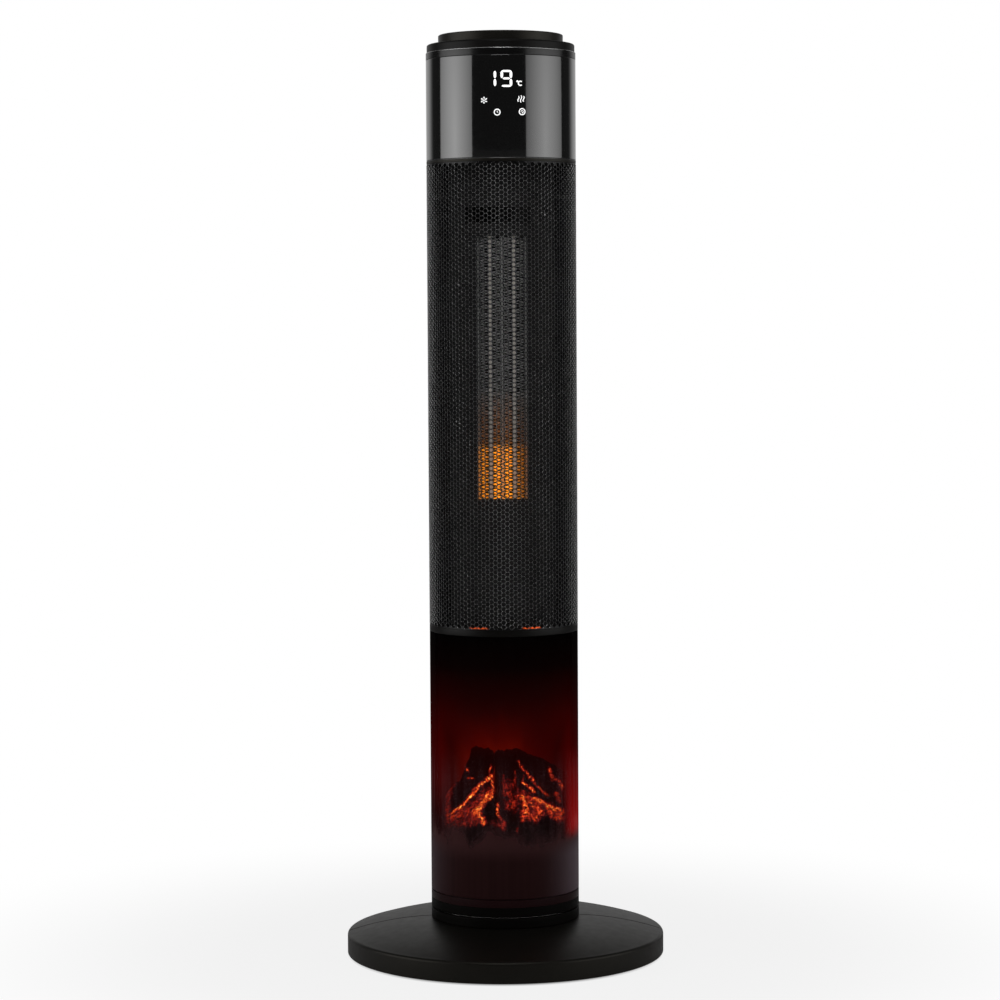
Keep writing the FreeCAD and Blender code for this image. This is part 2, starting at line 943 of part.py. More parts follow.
shelf_top = ledge_top - size.disc_sink
shelf_inside = size.disc_radius - size.shelf_width
ledge_radius = size.tower_radius - size.ledge_setback
disc_seat = size.disc_radius + size.fit_gap
keep(
    turned(
        "top_ring_body",
        [
            (ring_lip, display_top),
            (size.tower_radius, display_top),
            (size.tower_radius, lip_top),
            (ledge_radius, lip_top),
            (ledge_radius, ledge_top - size.ledge_rounding),
            (ledge_radius - size.ledge_rounding, ledge_top),
            (disc_seat, ledge_top),
            (disc_seat, shelf_top),
            (shelf_inside, shelf_top),
            (shelf_inside, shelf_top - size.shelf_thickness),
            (ring_lip, shelf_top - size.shelf_thickness),
        ],
        bends={4: size.ledge_rounding},
    ),
    "top_ring",
)
disc_inside = size.disc_radius - size.disc_wall
disc_ceiling = disc_top - size.disc_plate
disc_blank = turned(
    "disc_blank",
    [
        (disc_inside, shelf_top),
        (size.disc_radius, shelf_top),
        (size.disc_radius, disc_top - size.disc_rounding),
        (size.disc_radius - size.disc_rounding, disc_top),
        (0, disc_top),
        (0, disc_ceiling),
        (disc_inside, disc_ceiling),
    ],
    bends={2: size.disc_rounding},
)
key_board_top = shelf_top + size.board_thickness
keep(rod("key_board_disc", disc_inside - size.fit_gap, size.board_thickness, 0, 0, shelf_top), "key_board")

BUTTONS = {"button_mode": 225, "button_timer": 315, "button_swing": 45, "button_heat": 135}
button_spots = {"button_power": (as_size(0), as_size(0), size.power_button_radius)}
for label, angle in BUTTONS.items():
    button_spots[label] = (*around(size.button_circle_radius, angle), size.button_radius)

flange_top = disc_ceiling - size.fit_gap
flange_bottom = key_board_top + size.key_switch_height + size.button_travel + size.fit_gap
cap_height = disc_top - size.button_recess - flange_bottom
button_holes = []
key_switches = []
for label, (x, y, radius) in button_spots.items():
    button_holes.append(rod(f"{label}_hole", radius + size.moving_gap, size.disc_plate, x, y, disc_ceiling))
    key_switches.append(
        block(
            f"{label}_switch",
            size.key_switch_width,
            size.key_switch_width,
            size.key_switch_height,
            x,
            y,
            key_board_top,
        )
    )
    cap = rod(f"{label}_cap", radius, cap_height, x, y, flange_bottom)
    flange = rod(
        f"{label}_flange", radius + size.button_flange, flange_top - flange_bottom, x, y, flange_bottom
    )
    keep(fuse(f"{label}_whole", cap, flange), label)
keep(cut("disc_drilled", disc_blank, *button_holes), "top_disc")
keep(group("key_switch_group", *key_switches), "key_switches")


# Flame section: tray with apron, ember bed, logs, screen, rotor and lights

tray_radius = tower_inside - size.fit_gap
apron_outside = tray_radius - size.apron_setback
tray_floor = rod("tray_floor", tray_radius, size.tray_thickness, 0, 0, window_bottom)
tray_apron = wall(
    "tray_apron",
    apron_outside,
    apron_outside - size.tray_thickness,
    window_bottom,
    tray_top + size.apron_height,
    size.apron_sweep,
)
keep(fuse("tray_whole", tray_floor, tray_apron), "hearth_tray")

bed_top = tray_top + size.bed_height
bed_outside = [
    (size.bed_radius, tray_top),
    (size.bed_radius, bed_top - size.bed_drop),
    (size.bed_flat_radius, bed_top),
    (0, bed_top),
]
bed_inside = [
    (0, bed_top - size.bed_wall),
    (size.bed_flat_radius - size.bed_wall, bed_top - size.bed_wall),
    (size.bed_radius - size.bed_wall, bed_top - size.bed_drop - size.bed_wall),
    (size.bed_radius - size.bed_wall, tray_top),
]
behind_screen = block(
    "behind_screen",
    size.bed_radius * 2,
    size.bed_radius,
    size.window_height,
    0,
    size.screen_distance - size.fit_gap + size.bed_radius / 2,
    window_bottom,
)
keep(cut("bed_cut", turned("bed_shell", bed_outside + bed_inside), behind_screen), "ember_bed")


LOG_TAPER = 0.85


def log(name, turn, lean):
    """A tapered log that starts at a point over the bed, turned about Z and leaning up from level."""
    radius, length, side, front, lift = (
        getattr(size, f"{name}_{part}") for part in ("radius", "length", "side", "front", "lift")
    )
    feature = doc.addObject("Part::Cone", name)
    bind(feature, Radius1=radius, Radius2=radius * LOG_TAPER, Height=length)
    heading = FreeCAD.Rotation(UP, turn)
    slope = FreeCAD.Rotation(FreeCAD.Vector(0, 1, 0), 90 - lean)
    feature.Placement.Rotation = heading.multiply(slope)
    place(feature, side, front, bed_top + lift)
    return feature


log_pile = fuse(
    "log_pile",
    log("left_log", turn=8, lean=42),
    log("right_log", turn=172, lean=48),
    log("front_log", turn=95, lean=72),
    log("rear_log", turn=2, lean=4),
    log("stub_log", turn=80, lean=6),
)
bed_block = turned("bed_block", bed_outside + [(0, tray_top)])
keep(cut("log_pile_cut", log_pile, bed_block, behind_screen), "log_set")

keep(
    block(
        "screen_sheet",
        size.screen_width,
        size.screen_thickness,
        window_top - size.screen_headroom - tray_top,
        0,
        size.screen_distance + size.screen_thickness / 2,
        tray_top,
    ),
    "flame_screen",
)

rotor_half = size.rotor_length / 2
bracket_inside = rotor_half + size.moving_gap
bracket_outside = bracket_inside + size.rotor_bracket_thickness
spindle_end = bracket_outside + size.rotor_bracket_thickness
spindle = rod(
    "spindle",
    size.spindle_radius,
    bracket_outside + spindle_end,
    -bracket_outside,
    size.rotor_distance,
    rotor_height,
    along="X",
)
flat_vane = block(
    "flat_vane",
    size.rotor_length,
    size.rotor_radius * 2,
    size.rotor_vane,
    0,
    size.rotor_distance,
    rotor_height - size.rotor_vane / 2,
)
upright_vane = block(
    "upright_vane",
    size.rotor_length,
    size.rotor_vane,
    size.rotor_radius * 2,
    0,
    size.rotor_distance,
    rotor_height - size.rotor_radius,
)
keep(fuse("rotor_whole", spindle, flat_vane, upright_vane), "flame_rotor")

bracket_height = rotor_height + size.rotor_radius - tray_top
brackets = []
for side in (-1, 1):
    bracket = block(
        f"bracket_plate_{side + 1}",
        size.rotor_bracket_thickness,
        size.rotor_bracket_width,
        bracket_height,
        (bracket_inside + bracket_outside) / 2 * side,
        size.rotor_distance,
        tray_top,
    )
    bearing_hole = rod(
        f"bracket_hole_{side + 1}",
        size.spindle_radius + size.running_gap,
        size.rotor_length * 2,
        -size.rotor_length,
        size.rotor_distance,
        rotor_height,
        along="X",
    )
    brackets.append(cut(f"bracket_{side + 1}", bracket, bearing_hole))
keep(group("bracket_group", *brackets), "rotor_brackets")

rotor_motor_can = rod(
    "rotor_motor_can",
    size.rotor_motor_radius,
    size.rotor_motor_length,
    bracket_outside,
    size.rotor_distance,
    rotor_height,
    along="X",
)
rotor_motor_bore = rod(
    "rotor_motor_bore",
    size.spindle_radius + size.running_gap,
    size.rotor_bracket_thickness + size.moving_gap,
    bracket_outside,
    size.rotor_distance,
    rotor_height,
    along="X",
)
keep(cut("rotor_motor_whole", rotor_motor_can, rotor_motor_bore), "rotor_motor")

LEDS_PER_BOARD = 5
led_boards = []
leds = []
for row, y in enumerate((-size.bed_radius / 2, size.rotor_distance)):
    led_boards.append(
        block(
            f"led_board_{row}",
            size.led_board_width,
            size.led_board_depth,
            size.board_thickness,
            0,
            y,
            tray_top,
        )
    )
    for number in range(LEDS_PER_BOARD):
        x = size.led_pitch * (number - (LEDS_PER_BOARD - 1) / 2)
        leds.append(
            rod(
                f"led_{row}_{number}",
                size.led_radius,
                size.led_height,
                x,
                y,
                tray_top + size.board_thickness,
            )
        )
keep(group("led_board_group", *led_boards), "led_boards")
keep(group("led_group", *leds), "flame_leds")


# Heating section: baffle, element, blower and bulkhead

element_middle = size.holder_depth / 2 - size.baffle_distance
holder_width = size.element_width + size.holder_border * 2
baffle_sheet = block(
    "baffle_sheet",
    size.baffle_width,
    size.baffle_thickness,
    mesh_top - heater_floor,
    0,
    -size.baffle_distance - size.baffle_thickness / 2,
    heater_floor,
)
element_window = block(
    "element_window",
    size.element_width,
    size.baffle_distance * 2,
    element_height,
    0,
    -size.baffle_distance,
    element_start,
)
baffle_slot = block(
    "baffle_slot",
    size.slot_width,
    size.baffle_distance * 2,
    size.slot_height,
    0,
    -size.baffle_distance,
    element_top + size.slot_gap,
)
keep(cut("baffle_cut", baffle_sheet, element_window, baffle_slot), "front_baffle")

holders = []
for number, bottom in enumerate((element_start - size.holder_height, element_top)):
    holders.append(
        block(
            f"holder_{number}",
            holder_width,
            size.holder_depth,
            size.holder_height,
            0,
            element_middle,
            bottom,
        )
    )
keep(group("holder_group", *holders), "ptc_holders")


def element_bar(name, width, x):
    """A flat aluminium bar that runs the height of the element."""
    return block(name, width, size.element_depth, element_height, x, element_middle, element_start)


tubes = [
    element_bar(f"tube_{side + 1}", size.element_tube_width, size.element_tube_offset * side)
    for side in (-1, 1)
]
keep(group("tube_group", *tubes), "ptc_tubes")
rail_offset = (size.element_width - size.element_rail) / 2
rails = [element_bar(f"rail_{side + 1}", size.element_rail, rail_offset * side) for side in (-1, 0, 1)]
keep(group("rail_group", *rails), "ptc_rails")


def folded_fin(name, left, right):
    """A strip folded to and fro between two bars."""
    fold = size.fin_pitch.number / 2
    folds = int(element_height.number / fold)
    shift = FreeCAD.Vector(size.fin_fold_width.number, 0, 0)
    sides = (left.number, right.number - shift.x)
    path = [FreeCAD.Vector(sides[step % 2], 0, step * fold) for step in range(folds + 1)]
    ring = path + [point + shift for point in reversed(path)]
    face = Part.Face(Part.makePolygon(ring + ring[:1]))
    feature = doc.addObject("Part::Feature", name)
    feature.Shape = face.extrude(FreeCAD.Vector(0, size.element_depth.number, 0))
    place(feature, 0, element_middle - size.element_depth / 2, element_start)
    return feature


tube_near = size.element_tube_offset - size.element_tube_width / 2
tube_far = size.element_tube_offset + size.element_tube_width / 2
rail_near = size.element_width / 2 - size.element_rail
rail_half = size.element_rail / 2
fins = [
    folded_fin("fin_far_left", -rail_near, -tube_far),
    folded_fin("fin_left", -tube_near, -rail_half),
    folded_fin("fin_right", rail_half, tube_near),
    folded_fin("fin_far_right", tube_far, rail_near),
]
keep(group("fin_group", *fins), "ptc_fins")
keep(
    block(
        "cutout_body",
        size.cutout_width,
        size.cutout_depth,
        size.cutout_height,
        0,
        size.holder_depth - size.baffle_distance + size.cutout_depth / 2,
        element_top + size.holder_height - size.cutout_height,
    ),
    "thermal_cutout",
)

duct_walls = []
for side in (-1, 1):
    duct_walls.append(
        block(
            f"duct_wall_{side + 1}",
            size.scroll_wall,
            size.duct_depth,
            bulkhead_height - heater_floor,
            (holder_width + size.scroll_wall) / 2 * side,
            size.duct_depth / 2 - size.baffle_distance,
            heater_floor,
        )
    )
keep(group("duct_group", *duct_walls), "duct_walls")

SCROLL_FACING = 15
scroll_inside = size.fan_radius + size.scroll_gap
keep(
    wall(
        "scroll",
        scroll_inside + size.scroll_wall,
        scroll_inside,
        heater_floor,
        bulkhead_height,
        size.scroll_sweep,
        SCROLL_FACING,
        y=size.fan_distance,
    ),
    "fan_scroll",
)

fan_motor_can = rod(
    "fan_motor_can", size.fan_motor_radius, size.fan_motor_height, 0, size.fan_distance, heater_floor
)
fan_motor_bore = rod(
    "fan_motor_bore",
    size.fan_shaft_radius + size.running_gap,
    size.fan_shaft_seat + size.moving_gap,
    0,
    size.fan_distance,
    fan_motor_top - size.fan_shaft_seat - size.moving_gap,
)
keep(cut("fan_motor_whole", fan_motor_can, fan_motor_bore), "fan_motor")

shaft_start = fan_motor_top - size.fan_shaft_seat
shaft_end = bulkhead_height + size.bearing_height - size.moving_gap
keep(
    rod("fan_shaft_rod", size.fan_shaft_radius, shaft_end - shaft_start, 0, size.fan_distance, shaft_start),
    "fan_shaft",
)

fan_disc_step = (fan_length - size.fan_disc) / (size.fan_discs - 1)
fan_bore = size.fan_shaft_radius + size.running_gap
blade_root = size.fan_radius - size.fan_blade_depth
wheel_pieces = []
disc_count = round(size.fan_discs.number)
for number in range(disc_count):
    at_end = number in (0, disc_count - 1)
    bottom = fan_start + fan_disc_step * number
    wheel_pieces.append(
        wall(
            f"fan_disc_{number}",
            size.fan_radius,
            fan_bore if at_end else blade_root - size.fan_blade_thickness,
            bottom,
            bottom + size.fan_disc,
            y=size.fan_distance,
        )
    )
blade_count = round(size.fan_blades.number)
for number in range(blade_count):
    turn = FULL_TURN * number / blade_count
    blade = doc.addObject("Part::Box", f"fan_blade_{number}")
    bind(blade, Length=size.fan_blade_depth, Width=size.fan_blade_thickness, Height=fan_length)
    blade.Placement.Rotation = FreeCAD.Rotation(UP, turn + size.fan_blade_angle.number)
    x, y = around(blade_root, turn)
    place(blade, x, size.fan_distance + y, fan_start)
    wheel_pieces.append(blade)
keep(fuse("fan_wheel_whole", *wheel_pieces), "fan_wheel")

bulkhead_top = bulkhead_height + size.bulkhead_thickness
bulkhead_disc = rod(
    "bulkhead_disc", tower_inside - size.fit_gap, size.bulkhead_thickness, 0, 0, bulkhead_height
)
before_baffle = block(
    "before_baffle",
    size.tower_radius * 2,
    size.tower_radius,
    size.bulkhead_thickness,
    0,
    -size.baffle_distance - size.tower_radius / 2,
    bulkhead_height,
)
bearing_hole = rod(
    "bearing_hole",
    size.bearing_radius + size.fit_gap,
    size.bulkhead_thickness,
    0,
    size.fan_distance,
    bulkhead_height,
)
keep(cut("bulkhead_cut", bulkhead_disc, before_baffle, bearing_hole), "top_bulkhead")
keep(
    turned(
        "bearing_bush",
        [
            (fan_bore, bulkhead_height - size.bearing_flange),
            (size.bearing_radius + size.bearing_flange, bulkhead_height - size.bearing_flange),
            (size.bearing_radius + size.bearing_flange, bulkhead_height),
            (size.bearing_radius, bulkhead_height),
            (size.bearing_radius, bulkhead_height + size.bearing_height),
            (fan_bore, bulkhead_height + size.bearing_height),
        ],
        y=size.fan_distance,
    ),
    "fan_bearing",
)


# Controls: display frame and board, control board with relays, rear rocker

frame_block = block(
    "frame_block",
    size.display_frame_width,
    size.display_frame_depth,
    size.display_frame_height,
    0,
    -trim_inside - size.display_frame_depth / 2,
    display_bottom,
)
frame_opening = block(
    "frame_opening",
    size.display_frame_width - size.display_frame_border * 2,
    size.display_frame_depth,
    size.display_frame_height - size.display_frame_border * 2,
    0,
    -trim_inside - size.display_frame_depth / 2,
    display_bottom + size.display_frame_border,
)
keep(cut("frame_cut", frame_block, frame_opening), "display_frame")
keep(
    block(
        "display_board_sheet",
        size.display_board_width,
        size.board_thickness,
        size.display_board_height,
        0,
        size.board_thickness / 2 - trim_inside,
        display_bottom + (size.display_frame_height - size.display_board_height) / 2,
    ),
    "display_board",
)
keep(
    block(
        "control_board_sheet",
        size.control_board_width,
        size.board_thickness,
        size.control_board_height,
        0,
        size.control_board_distance + size.board_thickness / 2,
        bulkhead_top,
    ),
    "control_board",
)
relays = []
for number in (-1, 0, 1):
    relays.append(
        block(
            f"relay_{number + 1}",
            size.relay_width,
            size.relay_depth,
            size.relay_height,
            size.relay_pitch * number,
            size.control_board_distance - size.relay_depth / 2,
            bulkhead_top + size.relay_lift,
        )
    )
keep(group("relay_group", *relays), "control_relays")

housing_start = rear_face - size.rocker_housing_depth
housing_bottom = rocker_height - housing_length / 2
housing_body = block(
    "housing_body",
    housing_width,
    size.rocker_housing_depth,
    housing_length,
    0,
    housing_start + size.rocker_housing_depth / 2,
    housing_bottom,
)
housing_flange = block(
    "housing_flange",
    housing_width + size.rocker_flange * 2,
    size.rocker_flange_thickness,
    housing_length + size.rocker_flange * 2,
    0,
    rear_face + size.rocker_flange_thickness / 2,
    housing_bottom - size.rocker_flange,
)
housing_cavity = block(
    "housing_cavity",
    housing_width - size.rocker_housing_wall * 2,
    size.rocker_housing_depth,
    housing_length - size.rocker_housing_wall * 2,
    0,
    rear_face + size.rocker_flange_thickness - size.rocker_housing_depth / 2,
    housing_bottom + size.rocker_housing_wall,
)
pivot_distance = size.tower_radius - size.rocker_pivot_depth
pin_half = size.rocker_width / 2 + size.moving_gap + size.rocker_pin_reach
housing_pin_hole = rod(
    "housing_pin_hole",
    size.rocker_pin_radius + size.running_gap,
    (pin_half + size.fit_gap) * 2,
    -pin_half - size.fit_gap,
    pivot_distance,
    rocker_height,
    along="X",
)
housing_solid = fuse("housing_solid", housing_body, housing_flange)
keep(cut("housing_cut", housing_solid, housing_cavity, housing_pin_hole), "rocker_housing")

rocker = doc.addObject("PartDesign::Body", "rocker_body")
rocker_face = size.rocker_thickness - size.rocker_pivot_depth
rocker_half = size.rocker_length / 2
rocker_outline = outline(
    rocker,
    "rocker_outline",
    "YZ_Plane",
    [
        (-size.rocker_pivot_depth, -rocker_half),
        (rocker_face, -rocker_half),
        (rocker_face - size.rocker_dip, 0),
        (rocker_face, rocker_half),
        (-size.rocker_pivot_depth, rocker_half),
    ],
    {},
)
rocker_pad = rocker.newObject("PartDesign::Pad", "rocker_pad")
rocker_pad.Profile = rocker_outline
rocker_pad.Midplane = True
bind(rocker_pad, Length=size.rocker_width)
rocker.Placement.Rotation = FreeCAD.Rotation(FreeCAD.Vector(1, 0, 0), size.rocker_tilt.number)
place(rocker, 0, pivot_distance, rocker_height)
rocker_pin = rod(
    "rocker_pin", size.rocker_pin_radius, pin_half * 2, -pin_half, pivot_distance, rocker_height, along="X"
)
keep(fuse("rocker_whole", rocker, rocker_pin), "power_rocker")


# Recompute, check and write the pieces

doc.recompute()
failed = [feature.Name for feature in doc.Objects if {"Invalid", "Error"} & set(feature.State)]
failed += [feature.Label for feature in kept if feature.Shape.isNull() or not feature.Shape.isValid()]
if failed:
    raise SystemExit(f"failed: {sorted(failed)}")
os.makedirs("parts", exist_ok=True)
for feature in kept:
    feature.Shape.exportStep(os.path.join("parts", f"{feature.Label}.step"))
print(f"{len(kept)} nodes, {sum(len(feature.Shape.Solids) for feature in kept)} solids")
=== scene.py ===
import json
import math

import bmesh
import bpy
from mathutils import Matrix, Vector, noise


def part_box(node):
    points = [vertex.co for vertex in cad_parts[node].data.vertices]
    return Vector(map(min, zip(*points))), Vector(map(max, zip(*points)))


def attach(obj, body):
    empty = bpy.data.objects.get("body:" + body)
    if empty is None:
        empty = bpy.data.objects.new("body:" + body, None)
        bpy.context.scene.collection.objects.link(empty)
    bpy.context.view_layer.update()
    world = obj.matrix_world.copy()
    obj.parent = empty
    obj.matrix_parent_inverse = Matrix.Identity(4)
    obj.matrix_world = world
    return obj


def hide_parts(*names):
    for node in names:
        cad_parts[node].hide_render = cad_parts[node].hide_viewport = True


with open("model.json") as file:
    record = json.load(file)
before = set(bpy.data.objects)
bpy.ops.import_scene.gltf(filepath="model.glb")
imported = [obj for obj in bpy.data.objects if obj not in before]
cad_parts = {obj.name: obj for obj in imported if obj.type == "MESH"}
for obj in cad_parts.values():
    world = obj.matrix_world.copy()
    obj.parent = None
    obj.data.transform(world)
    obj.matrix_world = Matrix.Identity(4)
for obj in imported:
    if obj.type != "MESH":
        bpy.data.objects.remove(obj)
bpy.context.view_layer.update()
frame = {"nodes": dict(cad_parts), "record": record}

NODES = frame["nodes"]
MM = 0.001
CAMERA_PLACE = (-0.0026, -2.5615, 0.5455)


# Materials

SMOOTH = "SMOOTHSTEP"


class Tree:
    """The nodes of one material or world, placed by the object's own coordinates."""

    def __init__(self, name, holders=bpy.data.materials):
        self.holder = holders.new(name)
        self.holder.use_nodes = True
        self.nodes = self.holder.node_tree.nodes
        self.links = self.holder.node_tree.links
        self.nodes.clear()
        self.coordinates = self.add("ShaderNodeTexCoord").outputs
        self.place = self.coordinates["Object"]

    def feed(self, socket, value):
        """Gives a socket a value or another node's output."""
        if isinstance(value, bpy.types.NodeSocket):
            self.links.new(value, socket)
        else:
            socket.default_value = value

    def add(self, kind, inputs=None, **settings):
        """A new node; inputs are named or numbered sockets, each given a value or another node's output."""
        node = self.nodes.new(kind)
        for name, value in settings.items():
            setattr(node, name, value)
        for name, value in (inputs or {}).items():
            self.feed(node.inputs[name], value)
        return node

    def stretched(self, x, y, z):
        """The object's coordinates, scaled unevenly for brushed or streaked patterns."""
        return self.add("ShaderNodeMapping", {"Vector": self.place, "Scale": (x, y, z)}).outputs["Vector"]

    def noise(self, scale, detail=3, place=None, distortion=0.0):
        inputs = {"Vector": place or self.place, "Scale": scale, "Detail": detail, "Distortion": distortion}
        return self.add("ShaderNodeTexNoise", inputs).outputs["Fac"]

    def cells(self, scale, feature="F1"):
        inputs = {"Vector": self.place, "Scale": scale}
        return self.add("ShaderNodeTexVoronoi", inputs, feature=feature).outputs["Distance"]

    def axis(self, letter, place=None):
        return self.add("ShaderNodeSeparateXYZ", {"Vector": place or self.place}).outputs[letter]

    def between(self, value, low, high, start=0.0, end=1.0, curve="LINEAR"):
        """Maps value from start..end to low..high."""
        inputs = {"Value": value, "From Min": start, "From Max": end, "To Min": low, "To Max": high}
        return self.add("ShaderNodeMapRange", inputs, interpolation_type=curve).outputs["Result"]

    def rising(self, value, start, end, curve="LINEAR"):
        return self.between(value, 0.0, 1.0, start, end, curve)

    def falling(self, value, start, end, curve="LINEAR"):
        return self.between(value, 1.0, 0.0, start, end, curve)

    def maths(self, operation, first, second=0.0):
        return self.add("ShaderNodeMath", {0: first, 1: second}, operation=operation).outputs["Value"]

    def times(self, first, second):
        return self.maths("MULTIPLY", first, second)

    def larger(self, first, second):
        return self.maths("MAXIMUM", first, second)

    def off(self, value, centre=0.0):
        """How far a value lies from a centre."""
        return self.maths("ABSOLUTE", self.maths("SUBTRACT", value, centre))

    def length(self, place):
        return self.add("ShaderNodeVectorMath", {0: place}, operation="LENGTH").outputs["Value"]

    def scaled(self, colour, share):
        inputs = {0: colour, "Scale": share}
        return self.add("ShaderNodeVectorMath", inputs, operation="SCALE").outputs["Vector"]

    def blend(self, share, first, second):
        return self.add("ShaderNodeMix", {0: share, 6: first, 7: second}, data_type="RGBA").outputs[2]

    def ramp(self, value, *stops):
        """Colours by value; each stop is a place, then red, green and blue."""
        node = self.add("ShaderNodeValToRGB", {"Fac": value})
        elements = node.color_ramp.elements
        while len(elements) < len(stops):
            elements.new(1.0)
        for element, (place, *colour) in zip(elements, stops):
            element.position = place
            element.color = (*colour, 1.0)
        return node.outputs["Color"]

    def bump(self, height, distance):
        inputs = {"Height": height, "Distance": distance, "Strength": 1.0}
        return self.add("ShaderNodeBump", inputs).outputs["Normal"]

    def principled(self, **sockets):
        """The finished material; its sockets are named with underscores for spaces."""
        inputs = {name.replace("_", " "): value for name, value in sockets.items()}
        shader = self.add("ShaderNodeBsdfPrincipled", inputs).outputs["BSDF"]
        self.add("ShaderNodeOutputMaterial", {"Surface": shader})
        return self.holder


def grey(level, warm=0.0):
    """A grey colour; warm moves it towards brown, or towards blue below zero."""
    return (level * (1 + warm), level, level * (1 - warm), 1.0)


def moulded(name, dark, light, roughness, grain=1800.0, depth=0.01 * MM, **sockets):
    """Plastic with a slow drift of colour, uneven gloss and a fine moulded grain."""
    tree = Tree(name)
    return tree.principled(
        Base_Color=tree.blend(tree.noise(30.0, 4), dark, light),
        Roughness=tree.between(tree.noise(140.0), roughness - 0.06, roughness + 0.06),
        Normal=tree.bump(tree.noise(grain, 2), depth),
        **sockets,
    )


def brushed(name, dark, light, roughness, along, depth=0.008 * MM, **sockets):
    """Metal with fine streaks along one axis."""
    tree = Tree(name)
    scale = [900.0, 900.0, 900.0]
    scale["XYZ".index(along)] = 25.0
    streaks = tree.noise(1.0, 4, tree.stretched(*scale))
    return tree.principled(
        Base_Color=tree.blend(tree.noise(45.0, 4), dark, light),
        Metallic=1.0,
        Roughness=tree.between(streaks, roughness - 0.1, roughness + 0.1),
        Normal=tree.bump(streaks, depth),
        **sockets,
    )


def circuit_board():
    """Green solder mask with copper tracks under it and pale pads."""
    tree = Tree("circuit_board")
    tracks = tree.cells(180.0, "DISTANCE_TO_EDGE")
    pads = tree.cells(260.0)
    mask = tree.ramp(tracks, (0.04, 0.05, 0.24, 0.1), (0.07, 0.012, 0.1, 0.04))
    pad = tree.falling(pads, 0.12, 0.16)
    return tree.principled(
        Base_Color=tree.blend(pad, mask, (0.62, 0.6, 0.52, 1.0)),
        Roughness=tree.between(tree.noise(300.0), 0.3, 0.45),
        Normal=tree.bump(tracks, 0.05 * MM),
    )


def glowing(name, colour, hot, strength):
    """A lit coloured lens with a fine speckle."""
    tree = Tree(name)
    speckle = tree.noise(700.0, 2)
    return tree.principled(
        Base_Color=tree.blend(speckle, colour, hot),
        Roughness=tree.between(speckle, 0.1, 0.25),
        Emission_Color=tree.blend(speckle, colour, hot),
        Emission_Strength=strength,
    )


# Heights on the window and the screen behind the logs, in metres, and shares of the red light
PAINT_LOW = 0.1
PAINT_HIGH = 0.122
GLOW_LOW = 0.1
GLOW_HIGH = 0.277
BEHIND_LOGS = 0.8
LOGS_HIGH = 0.172
WASH_HIGH = 0.212
SIGHT_DROP = 0.011
HALO_CENTRE = -0.01
SCREEN_WASH = 1.85
VEIL_LOW = 0.15
VEIL_HIGH = 0.185


def red_wash(tree, height):
    """Red light of the flame effect by height: strongest at the logs, black at both ends of the window."""
    return tree.ramp(
        tree.rising(height, GLOW_LOW, GLOW_HIGH),
        (0.0, 0.0, 0.0, 0.0),
        (0.12, 0.012, 0.0006, 0.0006),
        (0.3, 0.042, 0.001, 0.0008),
        (0.45, 0.04, 0.0, 0.0),
        (0.56, 0.029, 0.0, 0.0),
        (0.71, 0.0105, 0.0, 0.0),
        (0.85, 0.0016, 0.0, 0.0),
        (1.0, 0.0, 0.0, 0.0),
    )


